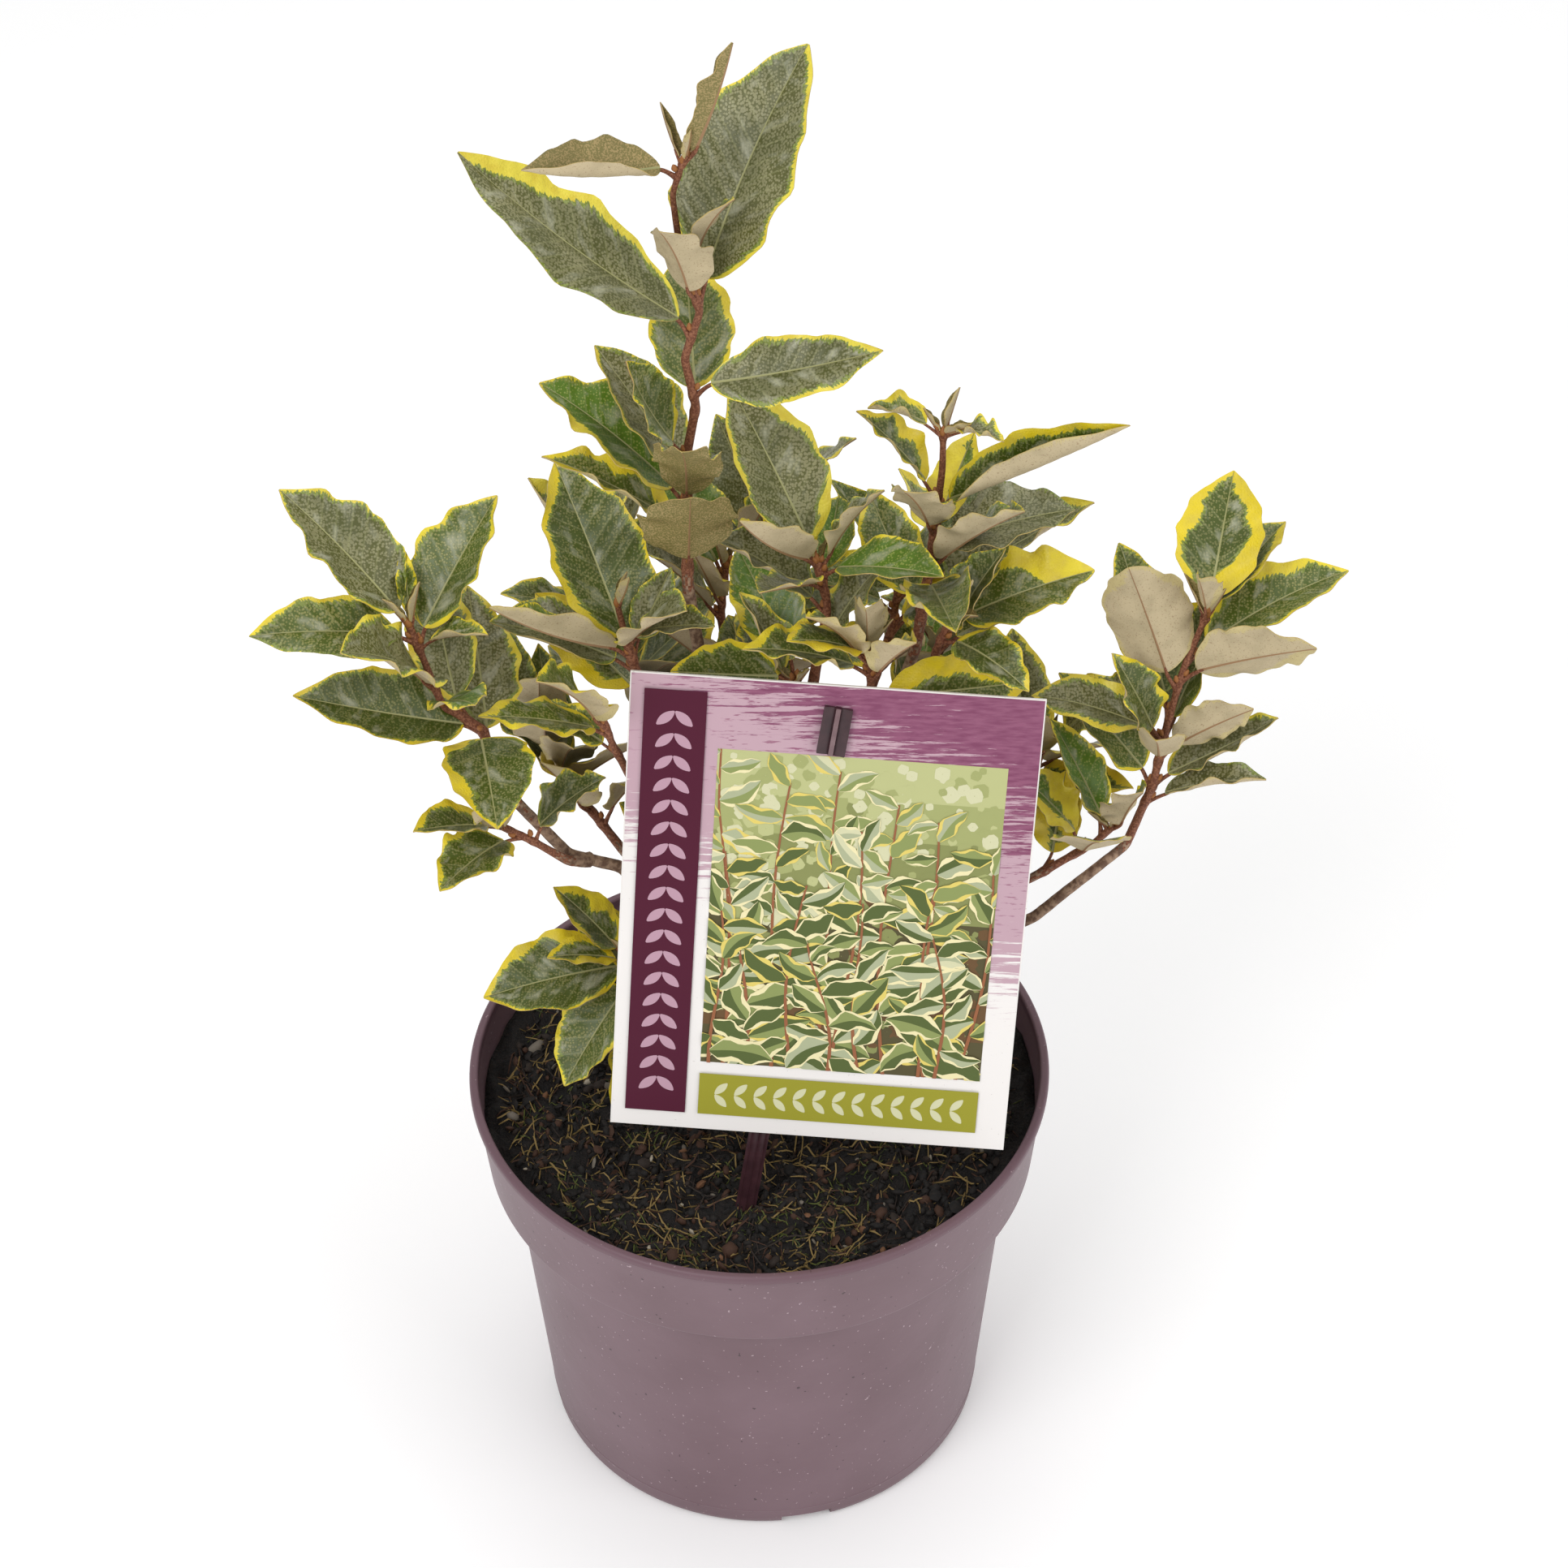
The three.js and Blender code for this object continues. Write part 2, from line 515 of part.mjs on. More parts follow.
/** The label's frame: upright, facing -Y, then turned, leant back and tilted in its own plane. */
function labelFrame() {
  const frame = new THREE.Group();
  frame.position.set(...CARD_CENTRE);
  frame.rotation.set((90 - CARD_LEAN) * RADIANS, 0, CARD_TURN * RADIANS, 'ZXY');
  const tilt = new THREE.Group();
  tilt.rotation.z = CARD_TILT * RADIANS;
  frame.add(tilt);
  potted.add(frame);
  frame.updateMatrixWorld(true);
  return tilt;
}

/** The directions across a limb at each of its points, carried along it without a twist. */
function carriedFrames(points, startWay, endWay) {
  const last = points.length - 1;
  const frames = [];
  let across = new THREE.Vector3(0.3, 1, 0.1);
  for (let i = 0; i <= last; i += 1) {
    const before = points[Math.max(0, i - 1)];
    const after = points[Math.min(last, i + 1)];
    let way = after.clone().sub(before).normalize();
    if (i === 0 && startWay) way = startWay;
    if (i === last && endWay) way = endWay;
    across = across.clone().addScaledVector(way, -across.dot(way)).normalize();
    frames.push({ across, over: way.clone().cross(across) });
  }
  return frames;
}

/**
 * Closed skin over rings of equal size, which run anticlockwise seen from the limb's end. The
 * two halves of a ring are split the same way, so a blade's two sides bend alike.
 */
function ringSkin(rings, tip) {
  const size = rings[0].length;
  const points = rings.flat();
  const faces = [];
  for (let r = 0; r + 1 < rings.length; r += 1) {
    for (let k = 0; k < size; k += 1) {
      const a = r * size + k;
      const b = r * size + ((k + 1) % size);
      if (k < size / 2) faces.push(a, b, b + size, a, b + size, a + size);
      else faces.push(a, b, a + size, b, b + size, a + size);
    }
  }
  const end = (rings.length - 1) * size;
  for (let k = 1; k + 1 < size; k += 1) {
    faces.push(0, k + 1, k);
    if (!tip) faces.push(end, end + k, end + k + 1);
  }
  if (tip) {
    points.push(tip);
    for (let k = 0; k < size; k += 1) {
      faces.push(end + k, end + ((k + 1) % size), points.length - 1);
    }
  }
  const geometry = new THREE.BufferGeometry().setFromPoints(points);
  geometry.setIndex(faces);
  return geometry;
}

/** One tapering limb through points, with a radius at each and a flat cut at both ends. */
function limb(points, radii, sides, startWay, endWay) {
  const frames = carriedFrames(points, startWay, endWay);
  const rings = points.map((point, i) => {
    const ring = [];
    for (let k = 0; k < sides; k += 1) {
      const angle = (2 * Math.PI * k) / sides;
      ring.push(point.clone()
        .addScaledVector(frames[i].across, radii[i] * Math.cos(angle))
        .addScaledVector(frames[i].over, radii[i] * Math.sin(angle)));
    }
    return ring;
  });
  return ringSkin(rings, null);
}

/** Radii that run evenly by length from one end of a path to the other. */
function taper(points, [first, last]) {
  const lengths = [0];
  for (let i = 1; i < points.length; i += 1) {
    lengths.push(lengths[i - 1] + points[i].distanceTo(points[i - 1]));
  }
  return lengths.map((length) => first + ((last - first) * length) / lengths[lengths.length - 1]);
}

/** The point and the direction at a share of a path's length. */
function along(points, share) {
  let total = 0;
  for (let i = 1; i < points.length; i += 1) total += points[i].distanceTo(points[i - 1]);
  let left = share * total;
  let i = 1;
  while (i + 1 < points.length && left > points[i].distanceTo(points[i - 1])) {
    left -= points[i].distanceTo(points[i - 1]);
    i += 1;
  }
  const way = points[i].clone().sub(points[i - 1]).normalize();
  return { point: points[i - 1].clone().addScaledVector(way, left), way };
}

/** Numbers from one seed, each 16807 times the last, modulo 2^31 - 1. */
function dice(seed) {
  let state = seed;
  return (low, high) => {
    state = (state * 16807) % 2147483647;
    return low + ((high - low) * state) / 2147483647;
  };
}

/** A leaf's frame: forward along its chord, to its left, and up out of its upper face. */
function leafFrame(azimuth, rise, roll) {
  const a = azimuth * RADIANS;
  const e = rise * RADIANS;
  const forward = new THREE.Vector3(Math.cos(e) * Math.cos(a), Math.cos(e) * Math.sin(a), Math.sin(e));
  const left = new THREE.Vector3(-Math.sin(a), Math.cos(a), 0);
  const up = forward.clone().cross(left);
  left.applyAxisAngle(forward, roll * RADIANS);
  up.applyAxisAngle(forward, roll * RADIANS);
  return { forward, left, up };
}

/** A leaf from its row of sizes: where it springs from, its frame, and its margin's waves. */
function makeLeaf(stem, row, waves) {
  const [share, azimuth, rise, length, width, roll, bend, fold] = row;
  const { point, way } = along(stem, share);
  const frame = leafFrame(azimuth, rise, roll);
  const out = leafFrame(azimuth, Math.min(rise, PETIOLE_RISE), 0).forward;
  out.addScaledVector(way, 0.5).normalize();
  return {
    ...frame,
    length,
    width,
    bend: bend * RADIANS + 1e-6,
    fold: fold * RADIANS,
    root: point.clone().addScaledVector(way, -ROOT_DEPTH),
    base: point.clone().addScaledVector(out, waves.petiole),
    waves,
  };
}

/** The dice's part of a leaf: its petiole and the waves of its margin. */
function drawWaves(roll) {
  return {
    petiole: roll(...PETIOLE_LENGTH),
    height: roll(...WAVE_HEIGHT),
    count: roll(...WAVE_COUNT),
    phase: roll(0, 2 * Math.PI),
  };
}

/** Half the blade's width, as a share of its widest, which is 1 at u = 0.43. */
function outline(u) {
  return 2.79 * u ** 0.65 * (1 - u) ** 0.85;
}

/** A point of the blade, u along it and v across it, -1 at its right edge and 1 at its left. */
function bladePoint(leaf, u, v, lift = 0) {
  const half = leaf.bend / 2;
  const radius = leaf.length / (2 * Math.sin(half));
  const angle = half - leaf.bend * u;
  const point = leaf.base.clone();
  point.addScaledVector(leaf.forward, radius * (Math.sin(half) - Math.sin(angle)));
  point.addScaledVector(leaf.up, radius * (Math.cos(angle) - Math.cos(half)));
  const reach = (leaf.width / 2) * outline(Math.min(1, u));
  const ends = Math.min(1, 4 * u) * Math.min(1, 4 * (1 - u));
  const { height, count, phase } = leaf.waves;
  const wave = height * v * v * ends * Math.sin(2 * Math.PI * count * u + phase + Math.sign(v));
  const rise = reach * Math.abs(v) * Math.sin(leaf.fold) + wave + lift;
  point.addScaledVector(leaf.left, reach * v * Math.cos(leaf.fold));
  point.addScaledVector(leaf.up, Math.cos(angle) * rise);
  point.addScaledVector(leaf.forward, -Math.sin(angle) * rise);
  return point;
}

/** A leaf as one closed body: a petiole sunk in the stem, and a blade thickest along its rib. */
function leafSolid(leaf) {
  const petiole = (centre) => [
    centre.clone().addScaledVector(leaf.left, PETIOLE_RADIUS),
    centre.clone().addScaledVector(leaf.up, PETIOLE_RADIUS),
    centre.clone().addScaledVector(leaf.left, -PETIOLE_RADIUS),
    centre.clone().addScaledVector(leaf.up, -PETIOLE_RADIUS),
  ];
  const rings = [petiole(leaf.root), petiole(leaf.base)];
  for (const u of BLADE_STATIONS) {
    rings.push([
      bladePoint(leaf, u, 1),
      bladePoint(leaf, u, 0, LEAF_THICKNESS / 2),
      bladePoint(leaf, u, -1),
      bladePoint(leaf, u, 0, -LEAF_THICKNESS / 2),
    ]);
  }
  return toSolid(ringSkin(rings, bladePoint(leaf, 1, 0)));
}

/** Points spread over a leaf's blade, each with its share u of the length. */
function leafSamples(leaf) {
  const samples = [];
  for (let i = 1; i <= SAMPLES_LONG; i += 1) {
    for (let k = 0; k < SAMPLES_WIDE; k += 1) {
      const u = i / SAMPLES_LONG;
      const v = (2 * k) / (SAMPLES_WIDE - 1) - 1;
      samples.push({ point: bladePoint(leaf, u, v * 0.95), u });
    }
  }
  return samples;
}

/** Points along a limb every 2 mm, each with the limb's radius there. */
function limbSamples(points, radii, owner) {
  const samples = [];
  for (let i = 1; i < points.length; i += 1) {
    const steps = Math.max(1, Math.round(points[i].distanceTo(points[i - 1]) / 2));
    for (let k = 0; k <= steps; k += 1) {
      const point = points[i - 1].clone().lerp(points[i], k / steps);
      const radius = radii[i - 1] + ((radii[i] - radii[i - 1]) * k) / steps;
      samples.push({ point, radius, owner });
    }
  }
  return samples;
}

/** True where a point keeps clear of the label, the peat and the pot. */
function clearOfThings(point, toCard) {
  if (point.z < SOIL_TOP + KEEP_SOIL) return false;
  const radius = Math.hypot(point.x, point.y);
  if (point.z < POT_HEIGHT + KEEP_POT && Math.abs(radius - RIM_RADIUS) < KEEP_POT + LIP_WIDTH * 2) {
    return false;
  }
  const local = point.clone().applyMatrix4(toCard);
  const beside = Math.abs(local.x) > CARD_WIDTH / 2 + KEEP_CARD;
  const beyond = Math.abs(local.y) > CARD_HEIGHT / 2 + KEEP_CARD;
  return beside || beyond || local.z < -KEEP_CARD - STAKE_THICKNESS;
}

/** True where a leaf of one shoot keeps clear of the leaves and limbs that are there already. */
function leafFits(samples, owner, leaves, limbs, toCard) {
  for (const { point, u } of samples) {
    if (!clearOfThings(point, toCard)) return false;
    for (const other of limbs) {
      const own = other.owner === owner;
      if (own && u < 0.3) continue;
      const keep = other.radius + (own ? 1 : KEEP_LIMB);
      if (point.distanceTo(other.point) < keep) return false;
    }
    for (const other of leaves) {
      const own = other.owner === owner;
      if (own && u < 0.3) continue;
      const keep = own ? KEEP_OWN : KEEP_OTHER;
      if (point.distanceTo(other.middle) > other.reach + keep) continue;
      for (const spot of other.samples) {
        if (own && spot.u < 0.3) continue;
        if (point.distanceToSquared(spot.point) < keep * keep) return false;
      }
    }
  }
  return true;
}

/** The rows of a shoot's seeded leaves, which climb its stem by the golden angle. */
function fillRows(shoot, roll) {
  const rows = [];
  const phase = roll(0, 360);
  for (let i = 0; i < shoot.fill; i += 1) {
    const share = shoot.top - (shoot.top * 0.85 * i) / shoot.fill;
    const length = roll(...FILL_LENGTH) * (1 - 0.25 * share);
    rows.push([
      share, phase + i * GOLDEN_ANGLE, roll(...FILL_RISE) + 15 * share, length,
      length * roll(...FILL_PLUMPNESS), roll(...FILL_ROLL), roll(...FILL_BEND), roll(...FILL_FOLD),
    ]);
  }
  return rows;
}

const label = labelFrame();
addPiece('label_card', makeCard(), 'card', label);
addPiece('label_stake', makeStake(0), 'stake', label);
potted.updateMatrixWorld(true);
const toCard = label.matrixWorld.clone().invert();

addPiece('pot', makePot(), 'pot');
addPiece('soil', makeSoil(makeStake(GAP).applyMatrix4(label.matrixWorld)), 'soil');

/** The trunk: a flat foot on the peat, a flare, and a plain taper up to its fork. */
function makeTrunk() {
  const foot = new THREE.Vector3(...TRUNK_FOOT, SOIL_TOP + GAP);
  const top = new THREE.Vector3(...TRUNK_TOP);
  const shares = [0, 0.4, 1].map((s) => (s * TRUNK_FLARE_HEIGHT) / (top.z - foot.z));
  const points = [...shares, 1].map((share) => foot.clone().lerp(top, share));
  const radii = [TRUNK_FLARE, TRUNK_RADIUS + 1.6, TRUNK_RADIUS + 0.6, TRUNK_RADIUS];
  const upright = new THREE.Vector3(0, 0, 1);
  return { points, radii, geometry: limb(points, radii, TRUNK_SIDES, upright, upright) };
}

const trunk = makeTrunk();
addPiece('trunk', trunk.geometry, 'bark');
const limbs = limbSamples(trunk.points, trunk.radii, 'trunk');

// The limbs are laid out first, so that every leaf can keep clear of all of them.
for (const shoot of SHOOTS) {
  shoot.path = shoot.bough.map((p) => new THREE.Vector3(...p));
  shoot.pathRadii = taper(shoot.path, shoot.boughRadius);
  shoot.line = shoot.stem.map((p) => new THREE.Vector3(...p));
  limbs.push(...limbSamples(shoot.path, shoot.pathRadii, `bough_${shoot.name}`));
  limbs.push(...limbSamples(shoot.line, taper(shoot.line, shoot.radius), shoot.name));
  shoot.roll = dice(shoot.seed);
  shoot.grown = [];
}

const leaves = [];

/** Adds a leaf to its shoot if it keeps clear, and says whether it did. */
function tryLeaf(shoot, row, waves) {
  const leaf = makeLeaf(shoot.line, row, waves);
  const samples = leafSamples(leaf);
  if (!leafFits(samples, shoot.name, leaves, limbs, toCard)) return false;
  const middle = bladePoint(leaf, 0.5, 0);
  const reach = Math.max(...samples.map((sample) => sample.point.distanceTo(middle)));
  leaves.push({ samples, owner: shoot.name, middle, reach });
  shoot.grown.push(leaf);
  return true;
}

for (const shoot of SHOOTS) {
  for (const row of shoot.leaves) {
    tryLeaf(shoot, row, drawWaves(shoot.roll));
  }
}
for (const shoot of SHOOTS) {
  for (const row of fillRows(shoot, shoot.roll)) {
    const waves = drawWaves(shoot.roll);
    for (let t = 0; t < FILL_TRIES && !tryLeaf(shoot, row, waves); t += 1) {
      row[1] += TRY_TURN;
      row[3] *= TRY_SHRINK;
      row[4] *= TRY_SHRINK;
    }
  }
}

/** The largest closed body of a solid: what a cut leaves loose beside it is dropped. */
function largest(solid) {
  return solid.decompose().reduce((a, b) => (a.volume() > b.volume() ? a : b));
}

/** A limb swollen by the gap that the limbs around it keep from it. */
function swollen(points, radii, sides, startWay, endWay) {
  const wide = radii.map((radius) => (radius + GAP) / Math.cos(Math.PI / sides));
  return toSolid(limb(points, wide, sides, startWay, endWay));
}

const upright = new THREE.Vector3(0, 0, 1);
const carriers = [swollen(trunk.points, trunk.radii, TRUNK_SIDES, upright, upright)];

for (const shoot of SHOOTS) {
  const last = shoot.path.length - 1;
  const way = shoot.path[last].clone().sub(shoot.path[last - 1]).normalize();
  way.add(shoot.line[1].clone().sub(shoot.line[0]).normalize()).normalize();
  let bough = toSolid(limb(shoot.path, shoot.pathRadii, BOUGH_SIDES, null, way));
  for (const carrier of carriers) bough = bough.subtract(carrier);
  carriers.push(swollen(shoot.path, shoot.pathRadii, BOUGH_SIDES, null, way));
  addPiece(`bough_${shoot.name}`, toGeometry(largest(bough)), 'bark');
  const stem = [shoot.line[0].clone().addScaledVector(way, GAP), ...shoot.line.slice(1)];
  let mass = toSolid(limb(stem, taper(shoot.line, shoot.radius), SHOOT_SIDES, way, null));
  for (const leaf of shoot.grown) mass = mass.add(leafSolid(leaf));
  addPiece(`foliage_${shoot.name}`, toGeometry(mass), 'leaf');
}

export default potted;
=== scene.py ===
"""A young variegated silverberry in a plum nursery pot, with a plain garden label on a stake.

Shapes are worked out in millimetres, with +Z up and the origin under the middle of the pot, and
turned to metres where a mesh is made. The shrub grows by the source's rule, written again here,
so every leaf stands where its solid stands, and goes on to veins, buds and young leaves.
"""
from collections import namedtuple

import bpy
import numpy as np
from mathutils import Matrix


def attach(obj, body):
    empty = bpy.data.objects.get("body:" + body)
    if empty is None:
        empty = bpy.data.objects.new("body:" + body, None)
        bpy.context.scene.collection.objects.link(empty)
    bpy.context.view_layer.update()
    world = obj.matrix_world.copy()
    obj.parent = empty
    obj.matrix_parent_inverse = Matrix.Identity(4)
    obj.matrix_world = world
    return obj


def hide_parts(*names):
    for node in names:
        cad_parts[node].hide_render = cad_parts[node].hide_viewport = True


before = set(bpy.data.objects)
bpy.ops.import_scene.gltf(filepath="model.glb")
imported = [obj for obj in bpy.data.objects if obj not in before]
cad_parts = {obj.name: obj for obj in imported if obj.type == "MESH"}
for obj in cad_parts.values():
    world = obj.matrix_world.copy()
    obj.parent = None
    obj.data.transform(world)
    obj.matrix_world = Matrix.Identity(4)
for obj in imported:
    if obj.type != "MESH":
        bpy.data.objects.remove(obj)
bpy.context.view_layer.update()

RADIANS = np.pi / 180
TURN = 2 * np.pi

# The camera of the photograph: how far it is from what it looks at, how steeply it looks down,
# how far it is rolled clockwise, and its lens on a 36 mm sensor.
CAMERA_AIM = (9.2, 0.0, 270.0)
CAMERA_DISTANCE = 1300.0
CAMERA_ELEVATION = 41.66
CAMERA_ROLL = 0.67
CAMERA_LENS = 96.7

# The pot, as in the source.
POT_SIDES = 192
POT_HEIGHT = 148.5
RIM_RADIUS = 95.0
LIP_HEIGHT = 3.6
LIP_WIDTH = 3.0
WALL = 1.6
COLLAR_FOOT = 113.4
COLLAR_TOP_RADIUS = 93.6
COLLAR_FOOT_RADIUS = 90.5
BODY_TOP_RADIUS = 83.1
BASE_RADIUS = 73.5
BASE_ROUNDING = 3.0
FOOT_HEIGHT = 4.5
FOOT_WIDTH = 12.0
HUB_RADIUS = 18.0
FLOOR_THICKNESS = 2.5
NOTCH_COUNT = 4
NOTCH_WIDTH = 17.0
NOTCH_HEIGHT = 4.2
NOTCH_AZIMUTH = -79.0
DRAIN_COUNT = 6
DRAIN_RADIUS = 5.0
DRAIN_CIRCLE = 40.0

# A fine bead round the pot's foot, which the source leaves out.
BEAD_HEIGHT = 8.0
BEAD_HALF = 0.4
BEAD_DEPTH = 0.18

# The peat, the label and its stake, as in the source.
GAP = 0.3
SOIL_TOP = 135.0
SOIL_LUMP = 1.6
CARD_WIDTH = 125.0
CARD_HEIGHT = 160.0
CARD_THICKNESS = 0.8
CARD_CENTRE = (20.5, -28.0, 240.0)
CARD_LEAN = 13.9
CARD_TURN = -2.8
CARD_TILT = -3.2
STAKE_WIDTH = 6.5
STAKE_THICKNESS = 2.4
STAKE_HEAD = 74.0
STAKE_STEP = 13.0
STAKE_ACROSS = 0.6
STAKE_TILT = -5.8
STAKE_LENGTH = 200.0
STAKE_POINT = 14.0

# The stem at the plant's foot, as in the source.
TRUNK_FOOT = (0.0, 12.0)
TRUNK_TOP = (-2.0, 12.0, 172.0)
TRUNK_RADIUS = 4.4
TRUNK_FLARE = 7.5
TRUNK_FLARE_HEIGHT = 9.0

# The rule of growth, as in the source.
PETIOLE_LENGTH = (6, 8)
PETIOLE_RISE = 40
WAVE_HEIGHT = (0.5, 1.6)
WAVE_COUNT = (2, 3.5)
GOLDEN_ANGLE = 137.5
FILL_RISE = (16, 56)
FILL_LENGTH = (40, 60)
FILL_PLUMPNESS = (0.48, 0.62)
FILL_ROLL = (-28, 28)
FILL_BEND = (4, 34)
FILL_FOLD = (10, 22)
FILL_TRIES = 9
TRY_TURN = 47
TRY_SHRINK = 0.95
KEEP_OTHER = 3.8
KEEP_OWN = 2.2
KEEP_LIMB = 2.4
KEEP_CARD = 3.5
KEEP_SOIL = 2.0
KEEP_POT = 6.0
FAR_APART = 90.0

# A blade as it shows close up: half its thickness at its rib and at its edge, the rib's half
# width, its groove above and its ridge below, the swell between two side veins and their spacing,
# how many stations a blade has along it, and its margin's quick wave with the width from which
# on a leaf has all of it.
BLADE_HALF = 0.18
EDGE_HALF = 0.11
RIB_HALF = 0.42
RIB_GROOVE = 0.14
RIB_DEPTH = 0.5
QUILT = 0.2
VEIN_SPACING = 5.5
STATIONS = 40
YOUNG_STATIONS = 16
RUFFLE = 0.5
RUFFLED_WIDTH = 22

# The young leaves that crown a shoot, and the buds at its tip and in its leaves' axils.
YOUNG_LEAVES = 3
YOUNG_LENGTH = (8, 17)
YOUNG_PLUMPNESS = 0.36
KEEP_YOUNG = 0.9
TIP_BUD = (4.2, 1.15)
AXIL_BUD = (3.0, 0.95)

# Limbs: how far the trunk runs into the peat and into the fork, how much thicker a bough is where
# it leaves its limb, and the knob under each leaf.
TRUNK_SUNK = 2.5
TRUNK_INTO_FORK = 3.0
COLLAR_SWELL = 0.45
KNOB = 0.28
TRUNK_SIDES = 36
LIMB_SIDES = 14
TWIG_SIDES = 7

# What lies on the peat: how far from the middle it is strewn, and how far out it may reach.
LITTER_SPREAD = 84.0
LITTER_REACH = 87.0

# A rolling surface is this many sine waves.
ROUGH_WAVES = 14

# The print, in mm across the card and up it: how far out it lies and how far from the card's edge
# it stays, the panel of sprigs, the bar under it and the band beside both, how much higher each
# layer of ink lies than the last, how thick its films are, and where the sprigs stand.
PRINT_FOOT = CARD_THICKNESS / 2 + 0.02
PRINT_INSET = 0.4
PANEL = PANEL_LEFT, PANEL_RIGHT, PANEL_LOW, PANEL_HIGH = -35.0, 53.0, -55.0, 56.0
BAR_LOW, BAR_HIGH = -74.0, -59.0
BAND_LEFT, BAND_RIGHT, BAND_HIGH = -58.0, -39.0, 75.0
INK_STEP = 0.03
INK_FILM = 0.04
THIN_FILM = 0.004
DAB_FILM = 0.003
SPRIG_FEET = (-28, -2, -15, 22, 37, 8, 46, -22, 31, -8, 16, -30, 40, 4)
SPRIG_SPACING = 5.5
DAB_COUNT = 900
GARLAND_LEAN = 48

# The inks of the print by the order of its piece's material slots, with their colours.
INKS = {'band': '#4e142c', 'olive': '#98942e', 'leaf': '#566335', 'leaf_light': '#8a955a',
        'margin': '#e8deae', 'panel_mid': '#878c56', 'panel_soft': '#a1a66c',
        'panel_light': '#b8bb84', 'panel_dark': '#565034', 'panel_deep': '#694f33',
        'panel_pale': '#cfcea8', 'twig': '#955f40', 'leaf_grey': '#aab08e',
        'margin_gold': '#dcc86a', 'garland': '#b893a3'}
(BAND, OLIVE, LEAF, LEAF_LIGHT, MARGIN, MID, SOFT, LIGHT, DARK, EARTH, PALE, TWIG, LEAF_GREY,
 MARGIN_GOLD, GARLAND) = range(len(INKS))

Shoot = namedtuple("Shoot", "name seed fill bough stem top radius bough_radius leaves",
                   defaults=(1, (1.6, 0.9), (2.2, 1.7), ()))

